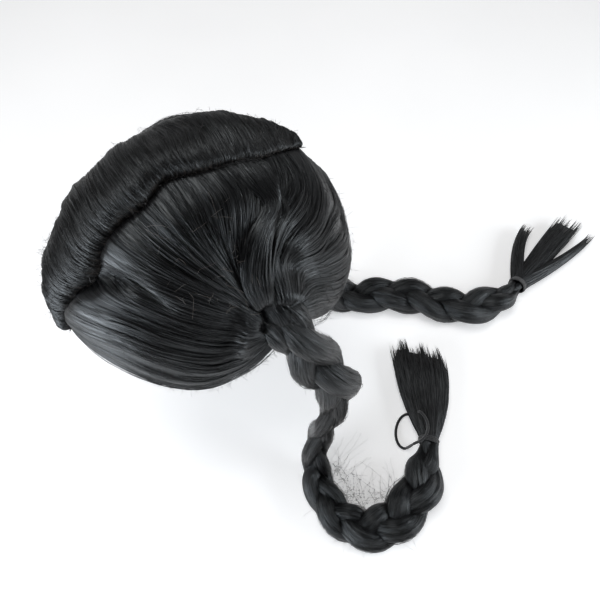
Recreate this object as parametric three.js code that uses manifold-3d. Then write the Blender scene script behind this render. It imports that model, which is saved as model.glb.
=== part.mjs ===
// Wig of black straight hair with a rolled crest over the crown and two long plaited pigtails.
// Millimetres, +Z up, +X to the wearer's left, -Y to the face. The origin is the inside top of the cap.
import * as THREE from 'three';
import { mergeVertices } from 'three/addons/utils/BufferGeometryUtils.js';
import Module from 'manifold-3d';

const wasm = await Module();
wasm.setup();

// Head sizes that the cap is made for
const HEAD_WIDTH = 148;
const CROWN_TO_FOREHEAD = 97;
const CROWN_TO_BACK = 83;
const CROWN_TO_EAR_LINE = 98;
const CAP_WALL = 2;
const CROWN_ABOVE_SURFACE = 298;

// Clearances
const LAYER_GAP = 1.2;
const PARTING_GAP = 0.4;
const END_GAP = 0.4;
const NEST_GAP = 3.6;
const BALL_SIDES = 10;
const NEST_SHARE = 0.45;

// Gathered hair at the root of each pigtail, in degrees round from the face and above the ear line
const ROOT_ROUND = 92;
const ROOT_ABOVE = 17;
const ROOT_RING_RADIUS = 17;
const ROOT_DEPTH = 15;

// Hair under the crest and along the parting
const BED_DEPTH = 7;
const BED_MARGIN = 1;
const LIP_WIDTH = 7;

// Plaits, bands and tails. A lock's swing, rise and size are shares of the plait's width and thickness.
const LOCKS = 3;
const PLAIT_PITCH = 96;
const STEPS_PER_PITCH = 7;
const ROUTE_DIVISIONS = 800;
const LOCK_SIDES = 5;
const LOCK = { swing: 0.27, halfWidth: 0.25, rise: 0.17, halfThickness: 0.34 };
const BAND_WIDTH = 8;
const BAND_WALL = 1.6;
const BAND_SIDES = 16;
const NECK_WIDTH = 15;
const BAND_OUTSIDE = NECK_WIDTH / 2 + LAYER_GAP + BAND_WALL;
const LOOP_WIRE = 3;
const LOOP_REACH = 10;
const LOOP_HALF_LENGTH = 17;
const LOOP_SHIFT = 8;
const LOOP_SIDES = 6;
const LOOP_TURNS = 16;
const LOOP_SEAT = 0.02;
const LOOP_CLIMB = 0.85;
const NEAR_TAIL_LENGTH = 92;
const FAR_TAIL_LENGTH = 112;
const TAIL_THICKNESS = 15;
const STRIP_SIDES = 6;

// Steps of the swept hair, and the search along a strand for the edge of the bed
const STRAND_COUNT = 28;
const STRAND_STEPS = 11;
const SEARCH_REACH = 0.6;
const SEARCH_TURNS = 30;

// Guide strands of one side, from the front hairline over the crown to the nape. Each leaves the
// parting at so many degrees over the head, passes two places, and meets the root ring at an angle
// counted from the side of the face. Depth is a share of HAIR_DEPTH. From ROOT_BLEND of the way on it
// turns into ROOT_DEPTH. The right side's hair is FAR_FULLNESS as deep as the left's.
const HAIR_DEPTH = 11;
const FAR_FULLNESS = 0.7;
const ROOT_BLEND = 0.75;
const STRANDS = [
  { name: 'hairline', leaves: 11, round1: 32, above1: 0, round2: 60, above2: -19, meets: -70, depth: 0.7 },
  { name: 'temple', leaves: 20, round1: 33, above1: 23, round2: 66, above2: 7, meets: -25, depth: 1.12 },
  { name: 'sweep', leaves: 41, round1: 42, above1: 38, round2: 71, above2: 25, meets: 15, depth: 1.0 },
  { name: 'forelock', leaves: 60, round1: 45, above1: 54, round2: 76, above2: 36, meets: 42, depth: 1.0 },
  { name: 'fore', leaves: 75, round1: 62, above1: 63, round2: 83, above2: 43, meets: 63, depth: 0.95 },
  { name: 'crown', leaves: 88, round1: 94, above1: 66, round2: 96, above2: 47, meets: 84, depth: 0.95 },
  { name: 'rear', leaves: 104, round1: 124, above1: 60, round2: 110, above2: 44, meets: 105, depth: 0.85 },
  { name: 'fan', leaves: 122, round1: 142, above1: 46, round2: 117, above2: 34, meets: 126, depth: 0.75 },
  { name: 'back', leaves: 142, round1: 152, above1: 33, round2: 121, above2: 20, meets: 150, depth: 0.75 },
  { name: 'swag', leaves: 168, round1: 148, above1: 4, round2: 121, above2: 4, meets: 185, depth: 1.2 },
  { name: 'nape', leaves: 204, round1: 150, above1: -22, round2: 117, above2: -13, meets: 232, depth: 1.15 },
];

// Creases between the locks of the swept hair: the strand they follow, their half width in strands,
// their depth as a share of the hair's, and the stretch of the strand that they run along. Each end
// fades over CREASE_FADE to either side.
const CREASE_FADE = 0.1;
const CREASES = [
  { strand: 1.75, half: 0.35, depth: 0.45, from: 0.12, to: 0.55 },
  { strand: 4.5, half: 0.4, depth: 0.35, from: 0.35, to: 0.98 },
  { strand: 6.6, half: 0.4, depth: 0.22, from: 0.3, to: 0.95 },
  { strand: 8.4, half: 0.4, depth: 0.22, from: 0.25, to: 0.9 },
];

// Lower edge of the cap, in degrees above the ear line
const CAP_HEM = [
  { round: 0, above: 15 },
  { round: 35, above: 8 },
  { round: 65, above: -6 },
  { round: 95, above: -1 },
  { round: 125, above: -8 },
  { round: 150, above: -14 },
  { round: 180, above: -20 },
];
const CAP_ROUND_STEPS = 30;
const CAP_DOWN_STEPS = 6;

// Crest sections by degrees over the head: how far its edges reach from the parting, to the left as a
// share of CREST_LEFT and to the right of CREST_RIGHT, and its height as a share of CREST_HEIGHT
const CREST_LEFT = 17;
const CREST_RIGHT = 27;
const CREST_HEIGHT = 12;
const CREST_SECTIONS = [
  { over: 9, left: 0.24, right: 0.42, height: 0.5 },
  { over: 20, left: 0.35, right: 0.62, height: 0.75 },
  { over: 32, left: 0.65, right: 0.8, height: 0.92 },
  { over: 42, left: 0.97, right: 0.9, height: 1 },
  { over: 50, left: 0.76, right: 0.97, height: 1 },
  { over: 60, left: 0.62, right: 1, height: 0.97 },
  { over: 70, left: 0.7, right: 1, height: 0.9 },
  { over: 78, left: 0.47, right: 1, height: 0.78 },
  { over: 88, left: 0.82, right: 1, height: 0.65 },
  { over: 102, left: 1, right: 0.86, height: 0.52 },
  { over: 112, left: 1, right: 0.68, height: 0.45 },
  { over: 128, left: 0.6, right: 0.38, height: 0.35 },
  { over: 141, left: 0.18, right: 0.09, height: 0.17 },
];
const CREST_ROUNDNESS = 0.8;
const CREST_STEPS = 20;
const CREST_UNDER_STEPS = 4;
const CREST_OVER_STEPS = 6;

// Plait widths and thicknesses along the braided length, as shares of PLAIT_WIDTH and PLAIT_THICKNESS
const PLAIT_WIDTH = 28;
const PLAIT_THICKNESS = 25;
const NEAR_PLAIT = [
  { along: 0, width: 0.9, thickness: 0.95 },
  { along: 0.12, width: 1.2, thickness: 1.15 },
  { along: 0.24, width: 1.22, thickness: 1.15 },
  { along: 0.31, width: 0.82, thickness: 0.86 },
  { along: 0.46, width: 0.78, thickness: 0.88 },
  { along: 0.6, width: 0.92, thickness: 0.93 },
  { along: 0.84, width: 1.6, thickness: 1.1 },
  { along: 0.93, width: 1.15, thickness: 0.9 },
  { along: 0.965, width: 0.53, thickness: 0.56 },
  { along: 1, width: 0.51, thickness: 0.56 },
];
const FAR_PLAIT = [
  { along: 0, width: 0.9, thickness: 0.95 },
  { along: 0.12, width: 1.1, thickness: 1.1 },
  { along: 0.5, width: 1.22, thickness: 1.0 },
  { along: 0.85, width: 1.28, thickness: 1.05 },
  { along: 0.94, width: 1.05, thickness: 0.9 },
  { along: 0.973, width: 0.54, thickness: 0.57 },
  { along: 1, width: 0.51, thickness: 0.56 },
];

// Routes of the plaits: straight out of the root ring, then where they hang, then where they lie.
// Places are counted from the root outwards and backwards as shares of the route's reach, and down as
// shares of its drop. Lying places keep the plait on the surface.
const NEAR_REACH = 129;
const NEAR_DROP = 187;
const FAR_REACH = 289;
const FAR_DROP = 172;
const NEAR_HANGING = [
  { out: 0.209, back: 0.07, down: 0.155 },
  { out: 0.287, back: 0.132, down: 0.294 },
  { out: 0.333, back: 0.186, down: 0.433 },
  { out: 0.349, back: 0.171, down: 0.561 },
  { out: 0.341, back: 0.132, down: 0.786 },
  { out: 0.333, back: 0.078, down: 1 },
];
const NEAR_LYING = [
  { out: 0.434, back: 0 },
  { out: 0.597, back: -0.054 },
  { out: 0.76, back: -0.054 },
  { out: 0.915, back: 0.016 },
  { out: 1, back: 0.171 },
  { out: 0.977, back: 0.395 },
  { out: 0.876, back: 0.605 },
  { out: 0.721, back: 0.783 },
];
const FAR_HANGING = [
  { out: 0.087, back: 0.055, down: 0.163 },
  { out: 0.066, back: 0.145, down: 0.39 },
  { out: -0.024, back: 0.266, down: 0.68 },
  { out: -0.142, back: 0.363, down: 1 },
];
const FAR_LYING = [
  { out: -0.253, back: 0.446 },
  { out: -0.308, back: 0.536 },
  { out: -0.367, back: 0.623 },
  { out: -0.45, back: 0.692 },
  { out: -0.529, back: 0.761 },
  { out: -0.571, back: 0.862 },
  { out: -0.581, back: 0.952 },
  { out: -0.571, back: 1 },
];

// Strips of the loose tails: how far each leans to the side, its length and width as shares of the
// tail's length, and its thickness as a share of TAIL_THICKNESS. The places where a strip starts to
// open, is widened, lies on the surface and starts to thin are shares of its own length.
const NEAR_TAIL = [
  { lean: -0.27, length: 1.0, width: 0.16, thickness: 1.0 },
  { lean: -0.14, length: 0.98, width: 0.17, thickness: 1.1 },
  { lean: 0.0, length: 0.94, width: 0.17, thickness: 1.1 },
  { lean: 0.13, length: 0.88, width: 0.16, thickness: 1.1 },
  { lean: 0.25, length: 0.8, width: 0.15, thickness: 1.0 },
];
const FAR_TAIL = [
  { lean: -0.28, length: 0.62, width: 0.08, thickness: 0.8 },
  { lean: 0.0, length: 1.0, width: 0.14, thickness: 1.0 },
  { lean: 0.1, length: 0.96, width: 0.14, thickness: 1.0 },
  { lean: 0.3, length: 0.86, width: 0.09, thickness: 0.8 },
];
const TAIL_FULLEST = 1.1;
const TIP_START = 0.75;
const TIP_SHRINK = 0.45;
const WIDENED_BY = 0.45;
const LOWERED_BY = 0.5;
const OPENS_FROM = 0.05;
const NEAR_TAIL_TURN = 10;
const FAR_TAIL_TURN = 7;
const TAIL_STEPS = 5;

const UP = new THREE.Vector3(0, 0, 1);

// Corners closer than this are one corner
const MERGE_DISTANCE = 1e-3;

// A smooth value between the rows of a table
function smoothValue(rows, key, column, place) {
  const last = rows.length - 1;
  if (place <= rows[0][key]) {
    return rows[0][column];
  }
  if (place >= rows[last][key]) {
    return rows[last][column];
  }
  const row = rows.findIndex((entry) => entry[key] > place) - 1;
  const span = rows[row + 1][key] - rows[row][key];
  const share = (place - rows[row][key]) / span;
  const slopeAt = (at) => {
    const before = rows[Math.max(at - 1, 0)];
    const after = rows[Math.min(at + 1, last)];
    return (after[column] - before[column]) / (after[key] - before[key]);
  };
  const cubed = share ** 3;
  const squared = share ** 2;
  const turned = 3 * squared - 2 * cubed;
  const fromValues = (1 - turned) * rows[row][column] + turned * rows[row + 1][column];
  const fromSlopes = (cubed - 2 * squared + share) * slopeAt(row) + (cubed - squared) * slopeAt(row + 1);
  return fromValues + fromSlopes * span;
}

function smoothStep(low, high, value) {
  return THREE.MathUtils.smoothstep(value, low, high);
}

function direction(round, above) {
  const turn = THREE.MathUtils.degToRad(round);
  const rise = THREE.MathUtils.degToRad(above);
  const level = Math.cos(rise);
  return new THREE.Vector3(level * Math.sin(turn), -level * Math.cos(turn), Math.sin(rise));
}

// A direction in the plane between the two sides, by degrees over the head from the face
function overHead(degrees) {
  return direction(0, degrees);
}

// A place at a height over the outside of the cap
function onHead(unit, height) {
  const lengthwise = unit.y < 0 ? CROWN_TO_FOREHEAD : CROWN_TO_BACK;
  const half = new THREE.Vector3(HEAD_WIDTH / 2, lengthwise, CROWN_TO_EAR_LINE).addScalar(CAP_WALL);
  const normal = unit.clone().divide(half).normalize();
  const place = unit.clone().multiply(half).addScaledVector(normal, height);
  return place.setZ(place.z - CROWN_TO_EAR_LINE);
}

function quad(a, b, c, d) {
  return [[a, b, c], [a, c, d]];
}

function signedVolume(corners) {
  return corners.reduce((sum, [a, b, c]) => sum + a.dot(b.clone().cross(c)) / 6, 0);
}

// One closed body from its triangles, with shared corners merged and faces pointing out
function bodyFrom(triangles) {
  const facing = signedVolume(triangles) < 0 ? triangles.map(([a, b, c]) => [a, c, b]) : triangles;
  const loose = new THREE.BufferGeometry();
  const numbers = facing.flatMap((corners) => corners.flatMap((corner) => corner.toArray()));
  loose.setAttribute('position', new THREE.Float32BufferAttribute(numbers, 3));
  const merged = mergeVertices(loose, MERGE_DISTANCE);
  const kept = [];
  for (let at = 0; at < merged.index.count; at += 3) {
    const [a, b, c] = merged.index.array.slice(at, at + 3);
    if (a !== b && b !== c && c !== a) {
      kept.push(a, b, c);
    }
  }
  merged.setIndex(kept);
  return merged;
}

// A wall between an outer and an inner grid of the same size, closed at its edges
function shellBody(outer, inner, goesRound) {
  const rows = outer.length - 1;
  const columns = outer[0].length - 1;
  const triangles = [];
  for (let i = 0; i < rows; i += 1) {
    for (let j = 0; j < columns; j += 1) {
      triangles.push(...quad(outer[i][j], outer[i + 1][j], outer[i + 1][j + 1], outer[i][j + 1]));
      triangles.push(...quad(inner[i][j], inner[i][j + 1], inner[i + 1][j + 1], inner[i + 1][j]));
    }
    triangles.push(...quad(outer[i][0], inner[i][0], inner[i + 1][0], outer[i + 1][0]));
    const [here, there] = [outer[i][columns], outer[i + 1][columns]];
    triangles.push(...quad(here, there, inner[i + 1][columns], inner[i][columns]));
  }
  for (let j = 0; j < columns && !goesRound; j += 1) {
    triangles.push(...quad(outer[0][j], outer[0][j + 1], inner[0][j + 1], inner[0][j]));
    triangles.push(...quad(outer[rows][j], inner[rows][j], inner[rows][j + 1], outer[rows][j + 1]));
  }
  return bodyFrom(triangles);
}

// A solid through closed rings of the same number of points, with flat ends
function loftBody(rings) {
  const triangles = [];
  const middle = (ring) => {
    const sum = ring.reduce((total, point) => total.add(point), new THREE.Vector3());
    return sum.divideScalar(ring.length);
  };
  const firstMiddle = middle(rings[0]);
  const lastRing = rings[rings.length - 1];
  const lastMiddle = middle(lastRing);
  rings[0].forEach((point, side) => {
    const next = (side + 1) % rings[0].length;
    triangles.push([firstMiddle, rings[0][next], point]);
    triangles.push([lastMiddle, lastRing[side], lastRing[next]]);
    for (let i = 0; i < rings.length - 1; i += 1) {
      triangles.push(...quad(rings[i][side], rings[i][next], rings[i + 1][next], rings[i + 1][side]));
    }
  });
  return bodyFrom(triangles);
}

function toSolid(geometry) {
  const mesh = new wasm.Mesh({
    numProp: 3,
    vertProperties: Float32Array.from(geometry.attributes.position.array),
    triVerts: Uint32Array.from(geometry.index.array),
  });
  return new wasm.Manifold(mesh);
}

function toGeometry(solid) {
  const mesh = solid.getMesh();
  const geometry = new THREE.BufferGeometry();
  geometry.setAttribute('position', new THREE.Float32BufferAttribute(mesh.vertProperties, 3));
  geometry.setIndex(Array.from(mesh.triVerts));
  return geometry;
}

// The main body of a solid, without the small voids shut in between fused locks
function filled(solid) {
  const bodies = solid.decompose().sort((a, b) => b.volume() - a.volume());
  return bodies[0];
}

function fuse(geometries) {
  return toGeometry(filled(geometries.map(toSolid).reduce((sum, solid) => sum.add(solid))));
}

// Cap: a thin dome with a lower edge that rises at the face and the ears
function capGeometry() {
  const outer = [];
  const inner = [];
  for (let i = 0; i <= CAP_ROUND_STEPS; i += 1) {
    const round = (360 * i) / CAP_ROUND_STEPS;
    const folded = round > 180 ? 360 - round : round;
    const hem = smoothValue(CAP_HEM, 'round', 'above', folded);
    const step = (90 - hem) / CAP_DOWN_STEPS;
    const downs = Array.from({ length: CAP_DOWN_STEPS + 1 }, (_, j) => 90 - step * j);
    outer.push(downs.map((above) => onHead(direction(round, above), 0)));
    inner.push(downs.map((above) => onHead(direction(round, above), -CAP_WALL)));
  }
  return shellBody(outer, inner, true);
}

const rootUnit = direction(ROOT_ROUND, ROOT_ABOVE);

// Where a strand meets the ring of gathered hair
function rootRing(degrees) {
  const turn = THREE.MathUtils.degToRad(degrees);
  const toFace = new THREE.Vector3(0, -1, 0).projectOnPlane(rootUnit).normalize();
  const upwards = UP.clone().projectOnPlane(rootUnit).normalize();
  const spread = ROOT_RING_RADIUS / (CROWN_TO_EAR_LINE + CAP_WALL + HAIR_DEPTH);
  const offset = toFace.multiplyScalar(Math.cos(turn)).addScaledVector(upwards, Math.sin(turn));
  return rootUnit.clone().addScaledVector(offset, spread).normalize();
}

// The curve of one strand, by its place among the guide strands
function strandCurve(strand) {
  const stops = [
    STRANDS.map((row) => overHead(row.leaves)),
    STRANDS.map((row) => direction(row.round1, row.above1)),
    STRANDS.map((row) => direction(row.round2, row.above2)),
  ];
  const share = strand / (STRANDS.length - 1);
  const places = stops.map((points) => new THREE.CatmullRomCurve3(points).getPoint(share).normalize());
  const rows = STRANDS.map((row, at) => ({ at, meets: row.meets }));
  places.push(rootRing(smoothValue(rows, 'at', 'meets', strand)));
  return new THREE.CatmullRomCurve3(places);
}

// How far an edge of the crest reaches from the parting
function crestReach(over, side) {
  const [column, most] = side > 0 ? ['left', CREST_LEFT] : ['right', CREST_RIGHT];
  return most * smoothValue(CREST_SECTIONS, 'over', column, over);
}

// Edge of the bed under the crest, where a direction passes beside it
function bedEdge(unit, side) {
  const over = THREE.MathUtils.radToDeg(Math.atan2(unit.z, -unit.y));
  return crestReach(over < -90 ? over + 360 : over, side) + BED_MARGIN;
}

// Places along a strand: the parting, the middle and the edge of the crest's bed, the lip beside it,
// then even steps
function placesAlong(curve, side) {
  const beside = (along) => onHead(curve.getPoint(along).normalize(), BED_DEPTH).x;
  const reaching = (extra) => {
    let low = 0;
    let high = SEARCH_REACH;
    for (let turn = 0; turn < SEARCH_TURNS; turn += 1) {
      const middle = (low + high) / 2;
      const unit = curve.getPoint(middle).normalize();
      if (beside(middle) < bedEdge(unit, side) + extra) {
        low = middle;
      } else {
        high = middle;
      }
    }
    return low;
  };
  const edge = reaching(0);
  const lip = reaching(LIP_WIDTH);
  const rest = STRAND_STEPS - 3;
  const even = Array.from({ length: rest }, (_, j) => lip + ((1 - lip) * (j + 1)) / rest);
  return [0, edge / 2, edge, lip, ...even];
}

// Depth of the swept hair at a place along a strand
function hairDepth(strand, along, unit, side) {
  const rows = STRANDS.map((row, at) => ({ at, depth: row.depth }));
  const fullness = side > 0 ? 1 : FAR_FULLNESS;
  let depth = HAIR_DEPTH * fullness * smoothValue(rows, 'at', 'depth', strand);
  CREASES.forEach((crease) => {
    const across = Math.exp(-(((strand - crease.strand) / crease.half) ** 2));
    const begun = smoothStep(crease.from - CREASE_FADE, crease.from + CREASE_FADE, along);
    const ended = smoothStep(crease.to - CREASE_FADE, crease.to + CREASE_FADE, along);
    depth -= HAIR_DEPTH * fullness * crease.depth * across * begun * (1 - ended);
  });
  depth = THREE.MathUtils.lerp(depth, ROOT_DEPTH, smoothStep(ROOT_BLEND, 1, along));
  const edge = bedEdge(unit, side);
  const beside = onHead(unit, BED_DEPTH).x;
  return THREE.MathUtils.lerp(BED_DEPTH, depth, smoothStep(edge, edge + LIP_WIDTH, beside));
}

// The swept hair of a side, from the parting to the root ring, laid out on the left
function sweptGrids(side) {
  const outer = [];
  const inner = [];
  for (let i = 0; i <= STRAND_COUNT; i += 1) {
    const strand = ((STRANDS.length - 1) * i) / STRAND_COUNT;
    const curve = strandCurve(strand);
    const outerLine = [];
    const innerLine = [];
    placesAlong(curve, side).forEach((along, at) => {
      const unit = curve.getPoint(along).normalize();
      const depth = hairDepth(strand, along, unit, side);
      const over = onHead(unit, LAYER_GAP + depth);
      const under = onHead(unit, LAYER_GAP);
      if (at === 0) {
        over.x = PARTING_GAP / 2;
        under.x = PARTING_GAP / 2;
      }
      outerLine.push(over);
      innerLine.push(under);
    });
    outer.push(outerLine);
    inner.push(innerLine);
  }
  return { outer, inner };
}

function mirrored(point) {
  return new THREE.Vector3(-point.x, point.y, point.z);
}

// Swept hair of a side, with a nest cut for the plait that hangs over its edge
function hairGeometry(side, nest) {
  const grids = sweptGrids(side);
  const placed = (grid) => (side < 0 ? grid.map((line) => line.map(mirrored)) : grid);
  const shell = toSolid(shellBody(placed(grids.outer), placed(grids.inner), false));
  return toGeometry(filled(shell.subtract(nest)));
}

// Crest: a rolled ridge of hair laid over the parting, tapering towards the upper back
function crestGeometry() {
  const rings = [];
  const first = CREST_SECTIONS[0].over;
  const last = CREST_SECTIONS[CREST_SECTIONS.length - 1].over;
  for (let i = 0; i <= CREST_STEPS; i += 1) {
    const over = first + ((last - first) * i) / CREST_STEPS;
    const [left, right] = [crestReach(over, 1), crestReach(over, -1)];
    const middle = (left - right) / 2;
    const half = (left + right) / 2;
    const height = CREST_HEIGHT * smoothValue(CREST_SECTIONS, 'over', 'height', over);
    const place = (beside, raised) => {
      const lean = Math.asin(beside / (HEAD_WIDTH / 2 + CAP_WALL + LAYER_GAP + BED_DEPTH));
      const unit = overHead(over).multiplyScalar(Math.cos(lean));
      unit.x = Math.sin(lean);
      return onHead(unit, 2 * LAYER_GAP + BED_DEPTH + raised);
    };
    const under = Array.from({ length: CREST_UNDER_STEPS + 1 }, (_, j) => {
      const beside = middle + half * (1 - (2 * j) / CREST_UNDER_STEPS);
      return place(beside, 0);
    });
    const above = Array.from({ length: CREST_OVER_STEPS - 1 }, (_, j) => {
      const turn = Math.PI * (1 - (j + 1) / CREST_OVER_STEPS);
      return place(middle + half * Math.cos(turn), height * Math.sin(turn) ** CREST_ROUNDNESS);
    });
    rings.push([...under, ...above]);
  }
  return loftBody(rings);
}

// Points of a plait's route on its own side, from the cap to the middle of its band
function routePoints({ side, hanging, lying, reach, drop, sections }) {
  const base = onHead(rootUnit, END_GAP);
  const place = (row, z) => {
    const beside = side * (base.x + row.out * reach);
    return new THREE.Vector3(beside, base.y + row.back * reach, z);
  };
  const resting = (share) => {
    const thickness = PLAIT_THICKNESS * smoothValue(sections, 'along', 'thickness', share);
    return (share === 1 ? BAND_OUTSIDE + END_GAP : thickness / 2 + LAYER_GAP) - CROWN_ABOVE_SURFACE;
  };
  const hangs = hanging.map((row) => place(row, base.z - row.down * drop));
  const start = hangs.length / (hangs.length + lying.length);
  const lies = lying.map((row, at) => place(row, resting(start + ((1 - start) * (at + 1)) / lying.length)));
  const neck = onHead(rootUnit, ROOT_DEPTH);
  return [base, neck].map((point) => (side < 0 ? mirrored(point) : point)).concat(hangs, lies);
}

// Frames along a route, face up where it lies, carried back to the root without twist
function framesAlong(points, step) {
  const path = new THREE.CatmullRomCurve3(points, false, 'centripetal');
  path.arcLengthDivisions = ROUTE_DIVISIONS;
  const length = path.getLength();
  const count = Math.round(length / step);
  const frames = [];
  let face = UP.clone();
  for (let at = count; at >= 0; at -= 1) {
    const share = at / count;
    const point = path.getPointAt(share);
    const tangent = path.getTangentAt(share);
    face = face.clone().projectOnPlane(tangent).normalize();
    const side = tangent.clone().cross(face).normalize();
    frames.unshift({ share, along: share * length, point, tangent, side, face });
  }
  return frames;
}

function ovalRing(frame, sideways, upwards, halfWidth, halfThickness, sides) {
  return Array.from({ length: sides }, (_, at) => {
    const turn = (2 * Math.PI * at) / sides;
    return frame.point.clone()
      .addScaledVector(frame.side, sideways + halfWidth * Math.cos(turn))
      .addScaledVector(frame.face, upwards + halfThickness * Math.sin(turn));
  });
}

// Three locks that cross over and under each other, fused where they touch
function plaitGeometry(frames, sections) {
  const locks = Array.from({ length: LOCKS }, (_, lock) => loftBody(frames.map((frame) => {
    const width = PLAIT_WIDTH * smoothValue(sections, 'along', 'width', frame.share);
    const thickness = PLAIT_THICKNESS * smoothValue(sections, 'along', 'thickness', frame.share);
    const turn = 2 * Math.PI * (frame.along / PLAIT_PITCH + lock / LOCKS);
    const sideways = LOCK.swing * width * Math.sin(turn);
    const upwards = LOCK.rise * thickness * Math.sin(2 * turn);
    const halfWidth = LOCK.halfWidth * width;
    const halfThickness = LOCK.halfThickness * thickness;
    return ovalRing(frame, sideways, upwards, halfWidth, halfThickness, LOCK_SIDES);
  })));
  return fuse(locks);
}

// Room that the first stretch of a plait takes beside the head, as balls strung along its route
function nestSolid(frames, sections) {
  const balls = frames.filter((frame) => frame.share < NEST_SHARE).map((frame) => {
    const width = PLAIT_WIDTH * smoothValue(sections, 'along', 'width', frame.share);
    const thickness = PLAIT_THICKNESS * smoothValue(sections, 'along', 'thickness', frame.share);
    const radius = Math.max(width, thickness) / 2 + NEST_GAP;
    const ball = new THREE.SphereGeometry(radius, BALL_SIDES, BALL_SIDES / 2);
    ball.translate(frame.point.x, frame.point.y, frame.point.z);
    ball.deleteAttribute('normal');
    ball.deleteAttribute('uv');
    return toSolid(mergeVertices(ball, MERGE_DISTANCE));
  });
  return balls.reduce((sum, ball) => sum.add(ball));
}

// A band of wound elastic round the neck of a plait
function bandGeometry(frame) {
  const inside = BAND_OUTSIDE - BAND_WALL;
  const end = (radius, shift) => {
    const moved = { ...frame, point: frame.point.clone().addScaledVector(frame.tangent, shift) };
    return ovalRing(moved, 0, 0, radius, radius, BAND_SIDES);
  };
  const corners = [
    end(BAND_OUTSIDE, -BAND_WIDTH / 2),
    end(BAND_OUTSIDE, BAND_WIDTH / 2),
    end(inside, BAND_WIDTH / 2),
    end(inside, -BAND_WIDTH / 2),
  ];
  const triangles = [];
  corners.forEach((ring, at) => {
    const nextRing = corners[(at + 1) % corners.length];
    ring.forEach((point, side) => {
      const next = (side + 1) % ring.length;
      triangles.push(...quad(point, ring[next], nextRing[next], nextRing[side]));
    });
  });
  return bodyFrom(triangles);
}

// The band with its loose loop, which lies flat beside the plait. It sinks into the band by LOOP_SEAT
// of its reach, and climbs to it over the last LOOP_CLIMB of its way.
function loopedBandGeometry(frame) {
  const low = LOOP_WIRE / 2 - CROWN_ABOVE_SURFACE;
  const beside = BAND_OUTSIDE + (1 - LOOP_SEAT) * LOOP_REACH;
  const middle = frame.point.clone().addScaledVector(frame.side, -beside);
  middle.addScaledVector(frame.tangent, LOOP_SHIFT);
  const triangles = [];
  const ringAt = (at) => {
    const turn = (2 * Math.PI * at) / LOOP_TURNS;
    const rise = THREE.MathUtils.lerp(low, frame.point.z, smoothStep(0, LOOP_CLIMB, Math.cos(turn)));
    return Array.from({ length: LOOP_SIDES }, (_, corner) => {
      const angle = (2 * Math.PI * corner) / LOOP_SIDES;
      const wider = (LOOP_WIRE / 2) * Math.cos(angle);
      const point = middle.clone().addScaledVector(frame.side, (LOOP_REACH + wider) * Math.cos(turn));
      point.addScaledVector(frame.tangent, (LOOP_HALF_LENGTH + wider) * Math.sin(turn));
      point.z = rise + (LOOP_WIRE / 2) * Math.sin(angle);
      return point;
    });
  };
  for (let at = 0; at < LOOP_TURNS; at += 1) {
    const here = ringAt(at);
    const there = ringAt((at + 1) % LOOP_TURNS);
    here.forEach((point, corner) => {
      const next = (corner + 1) % here.length;
      triangles.push(...quad(point, here[next], there[next], there[corner]));
    });
  }
  return fuse([bandGeometry(frame), bodyFrom(triangles)]);
}

// Loose strips of hair beyond the band, fused where they leave it
function tailGeometry(frame, strips, length, turnDegrees) {
  const neck = NECK_WIDTH / 2;
  const turn = THREE.MathUtils.degToRad(turnDegrees);
  const heading = frame.tangent.clone().setZ(0).normalize().applyAxisAngle(UP, turn);
  const sideways = heading.clone().cross(UP).normalize();
  const start = frame.point.clone().addScaledVector(frame.tangent, END_GAP);
  const leaving = frame.point.clone().addScaledVector(frame.tangent, BAND_WIDTH / 2 + LAYER_GAP);
  const low = (TAIL_THICKNESS * TAIL_FULLEST) / 2 - CROWN_ABOVE_SURFACE;
  const stripBody = (strip) => {
    const round = (point) => ovalRing({ ...frame, point }, 0, 0, neck, neck, STRIP_SIDES);
    const rings = [round(start), round(leaving)];
    for (let at = 1; at <= TAIL_STEPS; at += 1) {
      const share = at / TAIL_STEPS;
      const opened = share * smoothStep(OPENS_FROM, 1, share);
      const point = leaving.clone().addScaledVector(heading, share * strip.length * length);
      point.addScaledVector(sideways, strip.lean * length * opened);
      point.z = THREE.MathUtils.lerp(leaving.z, low, smoothStep(0, LOWERED_BY, share));
      const tip = 1 - TIP_SHRINK * smoothStep(TIP_START, 1, share);
      const widened = smoothStep(0, WIDENED_BY, share);
      const halfWidth = THREE.MathUtils.lerp(neck, (strip.width * length) / 2, widened) * tip;
      const loose = (strip.thickness * TAIL_THICKNESS) / 2;
      const halfThickness = THREE.MathUtils.lerp(neck, loose, widened) * tip;
      const flat = { point, side: sideways, face: UP };
      rings.push(ovalRing(flat, 0, 0, halfWidth, halfThickness, STRIP_SIDES));
    }
    return loftBody(rings);
  };
  return fuse(strips.map(stripBody));
}

const HAIR_LOOK = new THREE.MeshStandardMaterial({ color: 0x1c1c1f, roughness: 0.42, metalness: 0 });
const CAP_LOOK = new THREE.MeshStandardMaterial({ color: 0x161617, roughness: 0.85, metalness: 0 });
const ELASTIC_LOOK = new THREE.MeshStandardMaterial({ color: 0x101012, roughness: 0.75, metalness: 0 });

function named(name, geometry, material) {
  const mesh = new THREE.Mesh(geometry, material);
  mesh.name = name;
  return mesh;
}

// One pigtail with the swept hair that feeds it
function buildSide(group, plan) {
  const { label, side, sections, band, strips, tailLength, tailTurn } = plan;
  const frames = framesAlong(routePoints(plan), PLAIT_PITCH / STEPS_PER_PITCH);
  const last = frames[frames.length - 1];
  group.add(named(`hair_${label}`, hairGeometry(side, nestSolid(frames, sections)), HAIR_LOOK));
  group.add(named(`braid_${label}`, plaitGeometry(frames, sections), HAIR_LOOK));
  group.add(named(`tie_${label}`, band(last), ELASTIC_LOOK));
  group.add(named(`tail_${label}`, tailGeometry(last, strips, tailLength, tailTurn), HAIR_LOOK));
}

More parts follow.
